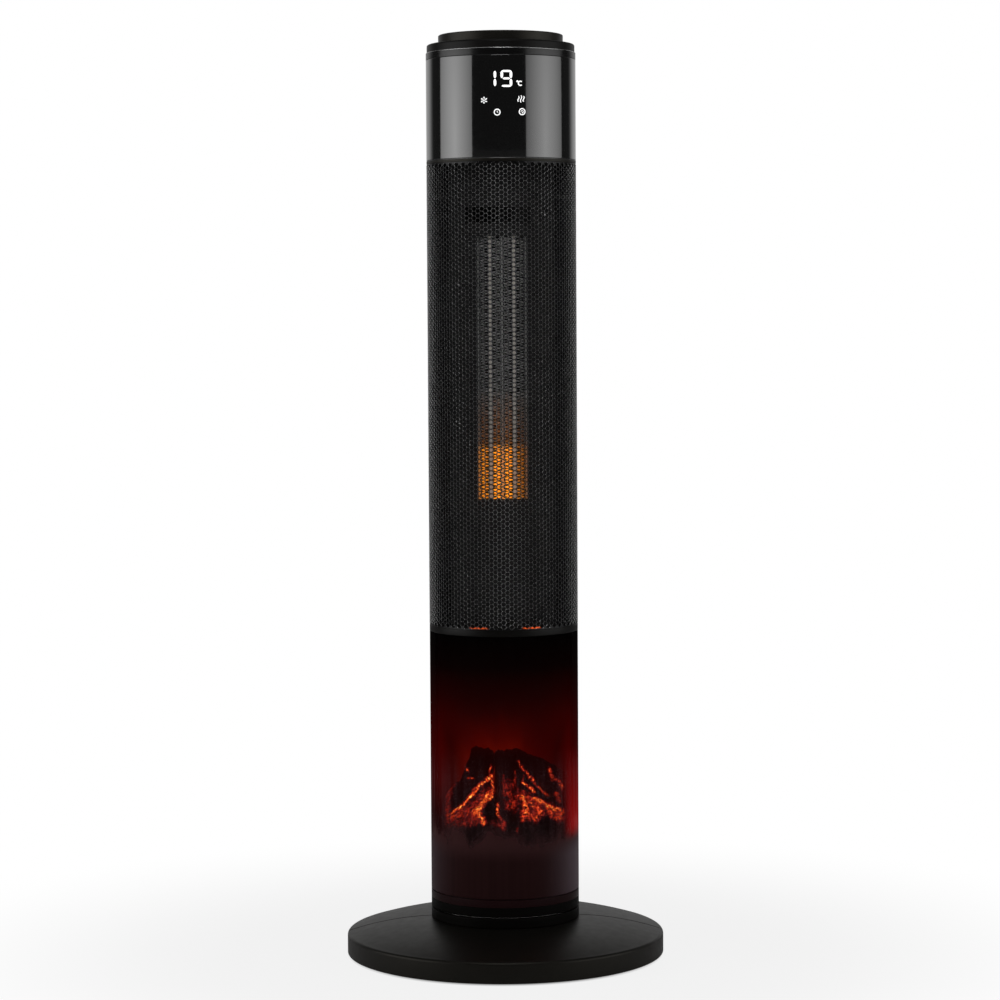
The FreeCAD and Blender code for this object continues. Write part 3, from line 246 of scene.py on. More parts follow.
def smoked_window():
    """Dark acrylic: see-through, with the flame effect's red light painted into it as glow, a dark border
    and a smoky print that ends in hills; the print is painted paler towards both sides as a sheen.
    """
    tree = Tree("smoked_acrylic")
    across = tree.axis("X")
    from_middle = tree.off(across)
    height = tree.axis("Z")
    streaks = tree.noise(1.0, 4, tree.stretched(320.0, 320.0, 5.0))
    hills = tree.noise(1.0, 4, tree.stretched(45.0, 45.0, 20.0))
    hilly = tree.maths("ADD", height, tree.between(hills, -0.012, 0.012, 0.3, 0.7))
    paint = tree.falling(hilly, PAINT_LOW, PAINT_HIGH, SMOOTH)
    border = tree.rising(from_middle, 0.055, 0.0585)
    opaque = tree.larger(paint, border)
    tint = tree.between(from_middle, 0.36, 0.55, 0.03, 0.052)

    # Painted sheen: the print turns pale grey-purple towards both sides, more on the right and only low
    # down, in place of the backdrop's reflection at the edges.
    sheen_right = tree.maths("POWER", tree.rising(across, 0.02, 0.06), 3.0)
    sheen_left = tree.maths("POWER", tree.between(across, 0.65, 0.0, -0.06, -0.03), 3.0)
    sheen_low = tree.falling(height, 0.088, 0.108, SMOOTH)
    painted_sheen = tree.times(tree.larger(sheen_right, sheen_left), sheen_low)
    dark_print = tree.blend(streaks, (0.024, 0.0085, 0.009, 1.0), (0.038, 0.014, 0.0145, 1.0))
    crest = tree.rising(height, 0.086, 0.104, SMOOTH)
    centre_print = tree.blend(crest, dark_print, (0.062, 0.024, 0.025, 1.0))
    print_and_sheen = tree.blend(painted_sheen, centre_print, (0.15, 0.11, 0.128, 1.0))
    veil_low = tree.falling(height, VEIL_LOW, VEIL_HIGH, SMOOTH)
    veil = tree.times(veil_low, tree.between(streaks, 0.1, 1.0, 0.42, 0.66))
    clear = tree.blend(veil, (0.0004, 0.0001, 0.0001, 1.0), (0.05, 0.028, 0.032, 1.0))

    wash = red_wash(tree, height)
    over_logs = tree.between(height, 1.0 - BEHIND_LOGS, 1.0, LOGS_HIGH, WASH_HIGH, SMOOTH)
    beside_logs = tree.rising(from_middle, 0.04, 0.053)
    in_front = tree.larger(over_logs, beside_logs)
    # A red glow painted along the right edge of the pane, between the print and the logs.
    right_edge = tree.rising(across, 0.048, 0.06, SMOOTH)
    above_paint = tree.rising(height, 0.1, 0.114, SMOOTH)
    below_logs = tree.falling(height, 0.12, 0.18)
    edge_glow = tree.times(right_edge, tree.times(above_paint, below_logs))
    return tree.principled(
        Base_Color=tree.blend(paint, clear, print_and_sheen),
        Roughness=tree.between(paint, 0.85, 0.36),
        Alpha=tree.larger(tint, opaque),
        Emission_Color=tree.blend(edge_glow, wash, (0.24, 0.003, 0.003, 1.0)),
        Emission_Strength=tree.times(in_front, tree.between(opaque, 1.2, 0.76)),
        Specular_IOR_Level=0.02,
        Normal=tree.bump(streaks, 0.02 * MM),
    )


# Places of the red glow painted on two stretches of the mesh's foot.
LEAK_LEFT = -0.0206
LEAK_RIGHT = 0.0232
LEAK_HEIGHT = 0.2846


def mesh_steel():
    """Dark steel with bright metal painted on the swollen tips where its webs meet, as glints; a red glow is
    painted on two stretches of its foot.
    """
    tree = Tree("black_mesh")
    reach = tree.length(tree.stretched(1.0, 1.0, 0.0))
    # Painted glints: bright metal only on the swollen tips where the webs meet; the tips reflect the lamps,
    # and their brightness is painted.
    glint_tips = tree.rising(reach, MESH_FACE + 0.18 * MM, MESH_FACE + 0.28 * MM)
    across = tree.axis("X")
    left = tree.falling(tree.off(across, LEAK_LEFT), 0.005, 0.0085)
    right = tree.falling(tree.off(across, LEAK_RIGHT), 0.005, 0.0085)
    foot = tree.falling(tree.off(tree.axis("Z"), LEAK_HEIGHT), 0.0002, 0.0009)
    patchy = tree.between(tree.noise(250.0, 3), 0.1, 1.0, 0.35, 0.6)
    web = tree.blend(tree.noise(30.0, 4), grey(0.02), grey(0.035))
    return tree.principled(
        Base_Color=tree.blend(glint_tips, web, grey(0.9)),
        Metallic=1.0,
        Roughness=tree.between(tree.noise(140.0), 0.25, 0.35),
        Emission_Color=(1.0, 0.12, 0.015, 1.0),
        Emission_Strength=tree.times(foot, tree.times(patchy, tree.larger(left, right))),
        Normal=tree.bump(tree.noise(2400.0, 2), 0.01 * MM),
    )


def flame_glow():
    """Frosted screen with the flame effect's light painted on as glow: the red wash behind the logs and an
    orange-red halo over them.
    """
    tree = Tree("frosted_screen")
    licks = tree.noise(1.0, 4, tree.stretched(60.0, 60.0, 18.0), 1.2)
    height = tree.maths("ADD", tree.axis("Z"), tree.between(licks, 0.008, -0.008, 0.3, 0.7))
    across = tree.axis("X")
    aside = tree.falling(tree.off(across, HALO_CENTRE), 0.012, 0.042, SMOOTH)
    fire = tree.ramp(
        tree.rising(height, 0.165, 0.205),
        (0.0, 0.12, 0.005, 0.0005),
        (0.4, 0.05, 0.0012, 0.0001),
        (1.0, 0.0, 0.0, 0.0),
    )
    seen_height = tree.maths("ADD", tree.axis("Z"), SIGHT_DROP)
    behind = tree.between(seen_height, SCREEN_WASH * BEHIND_LOGS, 0.0, LOGS_HIGH, WASH_HIGH, SMOOTH)
    width = tree.falling(tree.off(across), 0.04, 0.055)
    wash = tree.scaled(red_wash(tree, seen_height), tree.times(behind, width))
    light = tree.add("ShaderNodeVectorMath", {0: tree.scaled(fire, aside), 1: wash}, operation="ADD")
    return tree.principled(
        Base_Color=tree.blend(licks, (0.001, 0.0002, 0.0002, 1.0), (0.002, 0.0005, 0.0005, 1.0)),
        Roughness=tree.between(licks, 0.6, 0.75),
        Emission_Color=light.outputs["Vector"],
        Emission_Strength=1.0,
    )


AMBER_FOOT_LOW = 0.431
AMBER_FOOT_HIGH = 0.439
HAZE_HIGH = 0.482
HAZE = 0.16


def glow_painted_metal(name, cold, worn, strength):
    """Bare aluminium with an amber glow painted at its foot, most between the two tubes, fading to brown
    above.
    """
    tree = Tree(name)
    height = tree.axis("Z")
    across = tree.axis("X")
    # Painted glow: the element is no lamp; its amber light is painted as emission.
    glow_mask = tree.falling(height, AMBER_FOOT_LOW, AMBER_FOOT_HIGH, SMOOTH)
    haze = tree.between(height, HAZE, 0.0, AMBER_FOOT_LOW, HAZE_HIGH)
    left_share = tree.between(across, 0.6, 1.0, -0.013, -0.009)
    right_share = tree.between(across, 1.0, 0.25, 0.01, 0.0145)
    shares = tree.times(left_share, right_share)
    grain = tree.noise(420.0, 3)
    # Browner towards the foot, more where the painted glow is stronger.
    brown_share = tree.between(height, min(1.0, strength), 0.0, AMBER_FOOT_LOW, HAZE_HIGH)
    metal = tree.blend(grain, cold, worn)
    embers = tree.blend(grain, (1.0, 0.2, 0.004, 1.0), (1.0, 0.42, 0.02, 1.0))
    glow = tree.times(shares, tree.larger(glow_mask, haze))
    return tree.principled(
        Base_Color=tree.blend(brown_share, metal, (0.2, 0.07, 0.025, 1.0)),
        Metallic=0.15,
        Roughness=tree.between(grain, 0.35, 0.55),
        Emission_Color=embers,
        Emission_Strength=tree.times(glow, strength),
        Normal=tree.bump(grain, 0.02 * MM),
    )


MESH_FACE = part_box("mesh_grille")[1][0]
SLOTS = {
    "satin_black": moulded(
        "satin_black",
        grey(0.004, 0.15),
        grey(0.007, 0.18),
        0.4,
        Specular_IOR_Level=0.3,
        Specular_Tint=(1.0, 0.96, 0.84, 1.0),
    ),
    "button_black": moulded("button_black", grey(0.018), grey(0.026), 0.38, 1400.0),
    "gloss_black": moulded(
        "gloss_black", grey(0.002), grey(0.003), 0.08, 300.0, 0.0005 * MM, IOR=1.9, Coat_Weight=1.0
    ),
    "smoked_acrylic": smoked_window(),
    "purple_band": moulded(
        "purple_band",
        (0.016, 0.005, 0.006, 1.0),
        (0.024, 0.008, 0.009, 1.0),
        0.34,
        500.0,
        Specular_IOR_Level=0.06,
    ),
    "black_mesh": mesh_steel(),
    "zinc_steel": brushed("zinc_steel", grey(0.4), grey(0.55, 0.02), 0.35, "Z"),
    "aluminium": brushed("aluminium", grey(0.6), grey(0.72), 0.35, "Z"),
    "foil": brushed("foil", grey(0.7), grey(0.85), 0.22, "X"),
    "heat_plastic": moulded("heat_plastic", (0.06, 0.05, 0.04, 1.0), (0.1, 0.08, 0.06, 1.0), 0.6, 900.0),
    "white_acetal": moulded("white_acetal", grey(0.62, 0.03), grey(0.7, 0.03), 0.4, 900.0),
    "bronze": brushed("bronze", (0.4, 0.24, 0.1, 1.0), (0.55, 0.36, 0.17, 1.0), 0.35, "Z"),
    "rubber": moulded("rubber", grey(0.012), grey(0.022), 0.75, 1100.0, 0.03 * MM),
    "circuit_board": circuit_board(),
    "relay_blue": moulded("relay_blue", (0.01, 0.05, 0.2, 1.0), (0.02, 0.08, 0.28, 1.0), 0.4),
    "amber_led": glowing("amber_led", (1.0, 0.22, 0.02, 1.0), (1.0, 0.5, 0.1, 1.0), 2.0),
    "log_resin": moulded(
        "log_resin", (0.01, 0.006, 0.005, 1.0), (0.03, 0.018, 0.014, 1.0), 0.8, 300.0, 0.4 * MM
    ),
    "ember_resin": moulded(
        "ember_resin", (0.012, 0.007, 0.007, 1.0), (0.03, 0.02, 0.018, 1.0), 0.85, 250.0, 0.4 * MM
    ),
    "frosted_screen": flame_glow(),
}
for subpart in frame["record"]["subparts"]:
    skin = NODES[subpart["node"]].data.materials
    skin.clear()
    skin.append(SLOTS[subpart["material_slot"]])


def dress(material, *nodes):
    """Gives CAD nodes another material than their slot's."""
    for node in nodes:
        NODES[node].data.materials[0] = material


# The duct, the fan and the parts round them are given dark steel.
DARK_STEEL = moulded("dark_inner_steel", grey(0.01), grey(0.02), 0.6, 900.0)
dress(DARK_STEEL, "duct_walls", "fan_scroll", "top_bulkhead", "fan_bearing")
dress(DARK_STEEL, "thermal_cutout", "fan_wheel", "fan_motor", "fan_shaft")
SHELL = moulded("shell_satin", grey(0.014, 0.05), grey(0.02, 0.06), 0.42)
dress(SHELL, "upper_rear_shell", "lower_rear_shell", "rocker_housing", "power_rocker")
dress(moulded("baffle_black", grey(0.012), grey(0.018), 0.7, 900.0), "front_baffle")
dress(glow_painted_metal("glow_painted_fins", grey(0.75), grey(0.92, 0.02), 1.05), "ptc_fins")
dress(glow_painted_metal("glow_painted_tubes", grey(0.85, 0.06), grey(0.95, 0.08), 0.1), "ptc_tubes")
dress(glow_painted_metal("glow_painted_rails", grey(0.5), grey(0.65, 0.02), 0.4), "ptc_rails")


# Meshes

FRONT = -90.0
REAR = 90.0
FULL_TURN = 360.0
AXIS_RADIUS = 0.01
SIDE_SHARE = 0.48
SHORTEST_BEND = 0.01
SHARP = math.radians(38)


def add_piece(name, vertices, faces, material, body, slot, *replaced):
    """A smooth-shaded piece with sharp creases that rides on a body and may stand for CAD nodes."""
    mesh = bpy.data.meshes.new(name)
    mesh.from_pydata(vertices, [], faces)
    shape = bmesh.new()
    shape.from_mesh(mesh)
    loose = [vertex for vertex in shape.verts if not vertex.link_faces]
    bmesh.ops.delete(shape, geom=loose, context="VERTS")
    shape.to_mesh(mesh)
    shape.free()
    mesh.materials.append(material)
    mesh.polygons.foreach_set("use_smooth", [True] * len(mesh.polygons))
    mesh.set_sharp_from_angle(angle=SHARP)
    piece = bpy.data.objects.new(name, mesh)
    bpy.context.scene.collection.objects.link(piece)
    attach(piece, body)
    if replaced:
        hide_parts(*replaced)
    return piece


def repaint(piece, material, low, high):
    """Gives another material to the faces of a piece between two heights in millimetres."""
    piece.data.materials.append(material)
    for face in piece.data.polygons:
        if low * MM < face.center.z < high * MM:
            face.material_index = len(piece.data.materials) - 1


def rounded(corners, steps=5):
    """An outline with its corners rounded; each corner is across, up and its radius, in millimetres."""
    outline = []
    count = len(corners)
    for index, (across, up, radius) in enumerate(corners):
        edge_glow = Vector((across, up))
        before = Vector(corners[index - 1][:2]) - edge_glow
        after = Vector(corners[(index + 1) % count][:2]) - edge_glow
        half_angle = before.angle(after) / 2
        longest = min(before.length, after.length) * SIDE_SHARE
        reach = min(radius / math.tan(half_angle), longest)
        if reach < SHORTEST_BEND:
            outline.append((across, up))
            continue
        start = edge_glow + before.normalized() * reach
        end = edge_glow + after.normalized() * reach
        for step in range(steps + 1):
            share = step / steps
            bend = start.lerp(edge_glow, share).lerp(edge_glow.lerp(end, share), share)
            outline.append((bend.x, bend.y))
    return outline


def turned(outline, sweep=FULL_TURN, facing=FRONT, steps=240):
    """Vertices and faces of an outline in millimetres, turned about the tower's axis."""
    whole = sweep >= FULL_TURN
    rings = steps if whole else steps + 1
    count = len(outline)
    vertices = []
    for ring in range(rings):
        angle = math.radians(facing - sweep / 2 + sweep * ring / steps)
        for radius, height in outline:
            vertices.append((radius * MM * math.cos(angle), radius * MM * math.sin(angle), height * MM))

    def spot(ring, index):
        """A vertex number; points on the axis are shared by all rings."""
        on_axis = outline[index % count][0] < AXIS_RADIUS
        return (0 if on_axis else ring % rings) * count + index % count

    faces = []
    for ring in range(steps):
        for index in range(count):
            after = ring + 1
            square = (spot(ring, index), spot(after, index), spot(after, index + 1), spot(ring, index + 1))
            corners = tuple(dict.fromkeys(square))
            if len(corners) > 2:
                faces.append(corners)
    if not whole:
        faces.append(tuple(range(count)))
        faces.append(tuple(reversed(range((rings - 1) * count, rings * count))))
    return vertices, faces


def joined(*solids):
    """Several lists of vertices and faces as one."""
    vertices = []
    faces = []
    for more_vertices, more_faces in solids:
        shift = len(vertices)
        vertices.extend(more_vertices)
        faces.extend(tuple(index + shift for index in face) for face in more_faces)
    return vertices, faces


def post(x, y, low, high, radius, bore=0.0):
    """An upright tube or rod in millimetres with rounded ends."""
    outline = rounded([(bore, low, 0.2), (radius, low, 0.4), (radius, high, 0.4), (bore, high, 0.2)], 2)
    vertices, faces = turned(outline, steps=32)
    return [(vx + x * MM, vy + y * MM, vz) for vx, vy, vz in vertices], faces


def soft_ends(piece, width):
    """Rounds the edges of the flat end faces of a part-turned piece."""
    shape = bmesh.new()
    shape.from_mesh(piece.data)
    ends = [face for face in shape.faces if len(face.verts) > 4]
    edges = list({edge for face in ends for edge in face.edges})
    bmesh.ops.bevel(shape, geom=edges, offset=width * MM, segments=2, affect="EDGES", profile=0.5)
    for face in shape.faces:
        face.smooth = True
    shape.to_mesh(piece.data)
    shape.free()
    piece.data.set_sharp_from_angle(angle=SHARP)


def around(radius, degrees):
    """A point on a circle about the origin."""
    return radius * math.cos(math.radians(degrees)), radius * math.sin(math.radians(degrees))


def heights(node):
    """The lowest and the highest level of a CAD node in millimetres."""
    low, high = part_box(node)
    return low[2] / MM, high[2] / MM


BASE_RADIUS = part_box("base_front_half")[1][0] / MM
TOWER_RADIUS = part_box("top_ring")[1][0] / MM
WALL = 2.5
RIM_TOP = 19.0
RIM_ROUNDING = 3.0
CROWN_RADIUS = 250.0
NECK_RADIUS = 59.65
FRONT_SWEEP = 2 * (90 + math.degrees(math.asin(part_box("flame_window")[1][1] / MM / TOWER_RADIUS)))


def crown(first, last, radius, steps=24):
    """Points on the shallow dome of the base between two points, without the two points."""
    start = Vector(first)
    end = Vector(last)
    chord = end - start
    sag = radius - math.sqrt(radius**2 - (chord.length / 2) ** 2)
    rise = Vector((chord.y, -chord.x)).normalized()
    points = []
    for step in range(1, steps):
        share = step / steps
        lift = sag * 4 * share * (1 - share)
        point = start + chord * share + rise * lift
        points.append((point.x, point.y))
    return points


def drilled(piece, radius, start, length, along):
    """Cuts a round hole through a piece."""
    vertices, faces = turned([(0.0, 0.0), (radius, 0.0), (radius, length), (0.0, length)], steps=48)
    mesh = bpy.data.meshes.new("drill")
    mesh.from_pydata(vertices, [], faces)
    drill = bpy.data.objects.new("drill", mesh)
    bpy.context.scene.collection.objects.link(drill)
    turn = Vector(along).to_track_quat("Z", "Y").to_matrix().to_4x4()
    drill.matrix_world = Matrix.Translation(start) @ turn
    bpy.context.view_layer.update()
    hole = piece.modifiers.new("hole", "BOOLEAN")
    hole.object = drill
    hole.operation = "DIFFERENCE"
    ready = piece.evaluated_get(bpy.context.evaluated_depsgraph_get())
    result = bpy.data.meshes.new_from_object(ready)
    piece.modifiers.clear()
    piece.data = result
    bpy.data.objects.remove(drill)


FOOT_CIRCLE = 112.0
BOSS_RADIUS = 9.5
BOSS_BORE = 2.0
SCREW_CIRCLE = 68.0
POST_LOW = 26.0
POST_RADIUS = 4.5
POST_BORE = 1.6
GLAND_BORE = 4.75
GLAND_CUT = 24.0
SEAM_SWEEP = 179.97
SEAM_EDGE = 1.1


def base_cover(name, node, facing, feet, posts):
    """Half of the base: a shallow domed cover with bosses for the feet and posts for the screws."""
    foot_gap, seat = heights(node)
    rim = rounded(
        [
            (BASE_RADIUS - WALL, foot_gap, 0.4),
            (BASE_RADIUS, foot_gap, 1.2),
            (BASE_RADIUS, RIM_TOP, RIM_ROUNDING),
            (NECK_RADIUS, seat, 0.3),
            (NECK_RADIUS, seat - WALL, 0.3),
            (BASE_RADIUS - WALL, RIM_TOP - WALL, 1.5),
        ],
        8,
    )
    split = next(index for index, (across, up) in enumerate(rim) if across < NECK_RADIUS + 1)
    top = crown(rim[split - 1], rim[split], CROWN_RADIUS)
    solids = [turned(rim[:split] + top + rim[split:], SEAM_SWEEP, facing, 180)]
    for angle in feet:
        x, y = around(FOOT_CIRCLE, angle)
        solids.append(post(x, y, foot_gap, RIM_TOP + 1, BOSS_RADIUS, BOSS_BORE))
    for angle in posts:
        x, y = around(SCREW_CIRCLE, angle)
        solids.append(post(x, y, POST_LOW, seat - 1.5, POST_RADIUS, POST_BORE))
    piece = add_piece(name, *joined(*solids), SLOTS["satin_black"], "base", "satin_black", node)
    soft_ends(piece, SEAM_EDGE)
    return piece


base_cover("base_front_cover", "base_front_half", FRONT, (225, 315), (210, 330))
rear_cover = base_cover("base_rear_cover", "base_rear_half", REAR, (45, 135), (30, 150))
gland_height = sum(heights("cord_gland")) / 2 * MM
gland_start = (0.0, (BASE_RADIUS - GLAND_CUT / 2) * MM, gland_height)
drilled(rear_cover, GLAND_BORE, gland_start, GLAND_CUT, (0, 1, 0))


# Rings of the collar, the swivel and the tower

LIP = TOWER_RADIUS - 2 * WALL
INSIDE = TOWER_RADIUS - WALL
DISC_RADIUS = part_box("top_disc")[1][0] / MM
FIT = 0.15
PLATE = 3.0
FLANGE = 4.0
COLLAR_BORE = 20.0
COLLAR_INSIDE = 55.0
FLANGE_RADIUS = 74.0
HUB_BORE = 14.0
HUB_RADIUS = 19.8
FOOT_BORE = 46.5
TRIM_BORE = 46.0
SEAM = 0.8
SEAM_DEPTH = 1.4
LIP_HEIGHT = 6.0
LEDGE_SETBACK = 0.8
SHELF_WIDTH = 9.0
EDGE = 0.5
OLIVE = moulded("ring_plastic", grey(0.003, 0.1), grey(0.005, 0.15), 0.38, 1500.0, Specular_IOR_Level=0.16)
DULL = moulded("collar_plastic", grey(0.003, 0.1), grey(0.005, 0.15), 0.45, 1500.0, Specular_IOR_Level=0.03)


def ring(name, node, slot, corners, sweep=FULL_TURN, material=None, body="tower"):
    """A ring with rounded edges that stands for a CAD ring; it has its slot's material or another."""
    return add_piece(name, *turned(rounded(corners), sweep), material or SLOTS[slot], body, slot, node)


collar_low, collar_high = heights("fixed_collar")
seat = heights("base_front_half")[1]
collar_ring_outline = [
    (COLLAR_BORE, collar_low, 0.2),
    (FLANGE_RADIUS, collar_low, 0.3),
    (FLANGE_RADIUS, collar_low + FLANGE, 0.3),
    (NECK_RADIUS - FIT, collar_low + FLANGE, 0.1),
    (NECK_RADIUS - FIT, seat, 0.1),
    (TOWER_RADIUS, seat, 0.9),
    (TOWER_RADIUS, collar_high, 0.9),
    (COLLAR_INSIDE, collar_high, 0.4),
    (COLLAR_INSIDE, collar_low + PLATE, 0.3),
    (COLLAR_BORE, collar_low + PLATE, 0.2),
]
ring("collar_ring", "fixed_collar", "satin_black", collar_ring_outline, material=DULL, body="base")
hub_low, turn_high = heights("turntable")
turn_floor, band_high = heights("tower_foot_ring")
turning_ring_outline = [
    (HUB_BORE, hub_low, 0.3),
    (HUB_RADIUS, hub_low, 0.3),
    (HUB_RADIUS, turn_floor - PLATE, 0.1),
    (TOWER_RADIUS, turn_floor - PLATE, 0.9),
    (TOWER_RADIUS, turn_high, 0.5),
    (INSIDE, turn_high, 0.2),
    (INSIDE, turn_floor, 0.2),
    (HUB_BORE, turn_floor, 0.3),
]
ring("turning_ring", "turntable", "satin_black", turning_ring_outline, material=DULL)
foot_band_outline = [
    (FOOT_BORE, turn_floor, 0.3),
    (INSIDE - FIT, turn_floor, 0.3),
    (INSIDE - FIT, turn_high, 0.1),
    (TOWER_RADIUS, turn_high, 0.4),
    (TOWER_RADIUS, band_high - SEAM, 0.3),
    (TOWER_RADIUS - SEAM_DEPTH, band_high - SEAM, 0.1),
    (TOWER_RADIUS - SEAM_DEPTH, band_high, 0.1),
    (LIP, band_high, 0.3),
    (LIP, turn_floor + FLANGE, 0.3),
    (FOOT_BORE, turn_floor + FLANGE, 0.3),
]
ring("foot_band", "tower_foot_ring", "purple_band", foot_band_outline)
window_low, window_high = heights("flame_window")
flame_window_pane_outline = [
    (INSIDE, window_low, 0.2),
    (TOWER_RADIUS, window_low, 0.6),
    (TOWER_RADIUS, window_high, 0.5),
    (INSIDE, window_high, 0.2),
]
ring("flame_window_pane", "flame_window", "smoked_acrylic", flame_window_pane_outline, FRONT_SWEEP)
partition_high = heights("partition")[1]
middle_ring_outline = [
    (0.0, window_high, 0.0),
    (TOWER_RADIUS, window_high, 0.6),
    (TOWER_RADIUS, partition_high, 0.6),
    (INSIDE, partition_high, 0.2),
    (INSIDE, window_high + PLATE, 0.2),
    (0.0, window_high + PLATE, 0.0),
]
ring("middle_ring", "partition", "satin_black", middle_ring_outline, material=OLIVE)
mesh_low, mesh_high = heights("mesh_grille")
panel_low, panel_high = heights("display_window")
mesh_trim_outline = [
    (TRIM_BORE, mesh_high, 0.3),
    (TOWER_RADIUS, mesh_high, 0.6),
    (TOWER_RADIUS, panel_low, 0.6),
    (TRIM_BORE, panel_low, 0.3),
]
trim = ring("mesh_trim", "mesh_top_trim", "satin_black", mesh_trim_outline, FRONT_SWEEP)
display_panel_outline = [
    (INSIDE, panel_low, 0.2),
    (TOWER_RADIUS, panel_low, 0.4),
    (TOWER_RADIUS, panel_high, 0.4),
    (INSIDE, panel_high, 0.2),
]
ring("display_panel", "display_window", "gloss_black", display_panel_outline, FRONT_SWEEP)
lip_high = panel_high + LIP_HEIGHT
ledge_high = heights("top_ring")[1]
shelf = heights("top_disc")[0]
top_lip_ring_outline = [
    (LIP, panel_high, 0.2),
    (TOWER_RADIUS, panel_high, 0.5),
    (TOWER_RADIUS, lip_high, 1.0),
    (TOWER_RADIUS - LEDGE_SETBACK, lip_high, 0.2),
    (TOWER_RADIUS - LEDGE_SETBACK, ledge_high, 1.8),
    (DISC_RADIUS + FIT, ledge_high, 0.5),
    (DISC_RADIUS + FIT, shelf, 0.2),
    (DISC_RADIUS - SHELF_WIDTH, shelf, 0.3),
    (DISC_RADIUS - SHELF_WIDTH, shelf - PLATE, 0.3),
    (LIP, shelf - PLATE, 0.3),
]
top_lip = ring("top_lip_ring", "top_ring", "satin_black", top_lip_ring_outline, material=OLIVE)
LIP_GLOSS = moulded("lip_gloss", grey(0.003), grey(0.005), 0.2, 900.0, 0.002 * MM, Specular_IOR_Level=0.5)
HIGHLIGHT_EDGE = brushed("painted_highlight_edge", grey(0.75), grey(0.85), 0.25, "Z")
repaint(top_lip, LIP_GLOSS, panel_high - 1, lip_high - EDGE)
# The lip's top edge gets bright metal: a painted highlight line, which also reflects the room.
repaint(top_lip, HIGHLIGHT_EDGE, lip_high - EDGE, lip_high + 0.1)
# The trim's top edge gets dimmer metal as a fainter painted highlight line.
repaint(trim, brushed("trim_highlight_edge", grey(0.1), grey(0.2), 0.3, "Z"), panel_low - EDGE, panel_low)


# Perforated mesh

HOLE_PITCH = 3.83
HOLE_RADIUS = 1.5
HOLE_ROUNDING = 0.28
SHEET = 0.6
WEB_RISE = 0.3
HOLE_SIDES = 12
SPOTS_PER_MM = 500
END_MARGIN = 0.6
SIDE_MARGIN = 1.0
MESH_PIECES = 4
MESH_SHARP = math.radians(60)
CELL_REACH = HOLE_PITCH / math.sqrt(3)
COLUMN_STEP = 1.5 * CELL_REACH
mesh_radius = MESH_FACE / MM
mesh_arc = mesh_radius * math.radians(FRONT_SWEEP)
ROWS = int((mesh_high - mesh_low - END_MARGIN) / HOLE_PITCH)
COLUMNS = int((mesh_arc - CELL_REACH - SIDE_MARGIN) / COLUMN_STEP)
first_row = (mesh_low + mesh_high - ROWS * HOLE_PITCH) / 2
rows_end = first_row + ROWS * HOLE_PITCH
first_column = -(COLUMNS - 1) * COLUMN_STEP / 2


def spot_name(*place):
    """A place rounded to two micrometres, so that patches that meet share their points."""
    return tuple(round(length * SPOTS_PER_MM) for length in place)


class Sheet:
    """A curved sheet drawn flat, as arc length and height, with a front and a back."""

    def __init__(self):
        self.vertices = []
        self.faces = []
        self.numbers = {}
        self.edges = {}

    def point(self, arc, height, depth):
        key = spot_name(arc, height, depth)
        if key not in self.numbers:
            radius = (mesh_radius - depth) * MM
            angle = arc / mesh_radius
            self.numbers[key] = len(self.vertices)
            self.vertices.append((radius * math.sin(angle), -radius * math.cos(angle), height * MM))
        return self.numbers[key]

    def face(self, *corners):
        numbers = tuple(dict.fromkeys(self.point(*edge_glow) for edge_glow in corners))
        if len(numbers) > 2:
            self.faces.append(numbers)

    def skin(self, *corners):
        """A flat patch on the front and its twin on the back, given anticlockwise as seen from the front."""
        self.face(*((arc, height, 0.0) for arc, height in corners))
        self.face(*((arc, height, SHEET) for arc, height in reversed(corners)))
        for start, end in zip(corners, corners[1:] + corners[:1]):
            self.note_side(start, end)

    def note_side(self, start, end):
        """Keeps the side of a patch as an edge of the sheet until another patch has it too."""
        first = spot_name(*start)
        last = spot_name(*end)
        if self.edges.pop((last, first), None) is None:
            self.edges[(first, last)] = (start, end)

    def band(self, arc, low, low_half, high, high_half):
        """A patch between two heights, with half its width at each of them."""
        foot = (arc - low_half, low), (arc + low_half, low)
        head = (arc + high_half, high), (arc - high_half, high)
        self.skin(*foot, *head)

    def close(self):
        """Walls along every edge that only one patch has."""
        for start, end in self.edges.values():
            self.face((*start, 0.0), (*start, SHEET), (*end, SHEET), (*end, 0.0))

    def hole(self, arc, height):
        """A six-sided patch with a round hole; its front is rounded and swells where the webs meet."""

        def circle(radius, step):
            turn = math.tau * step / HOLE_SIDES
            return arc + radius * math.cos(turn), height + radius * math.sin(turn)

        front_radius = HOLE_RADIUS + HOLE_ROUNDING
        for side in range(6):
            start = circle(CELL_REACH, side * 2)
            end = circle(CELL_REACH, side * 2 + 2)
            self.note_side(start, end)
            for depth, radius, rise in ((0.0, front_radius, -WEB_RISE), (SHEET, HOLE_RADIUS, SHEET)):
                first, middle, last = ((*circle(radius, side * 2 + step), depth) for step in range(3))
                near, far = (*start, rise), (*end, rise)
                for patch in ((near, middle, first), (near, far, middle), (far, last, middle)):
                    self.face(*(patch[::-1] if depth else patch))
        levels = ((0.0, front_radius), (HOLE_ROUNDING, HOLE_RADIUS), (SHEET, HOLE_RADIUS))
        for step in range(HOLE_SIDES):
            for (depth, radius), (next_depth, next_radius) in zip(levels, levels[1:]):
                self.face(
                    (*circle(radius, step), depth),
                    (*circle(radius, step + 1), depth),
                    (*circle(next_radius, step + 1), next_depth),
                    (*circle(next_radius, step), next_depth),
                )


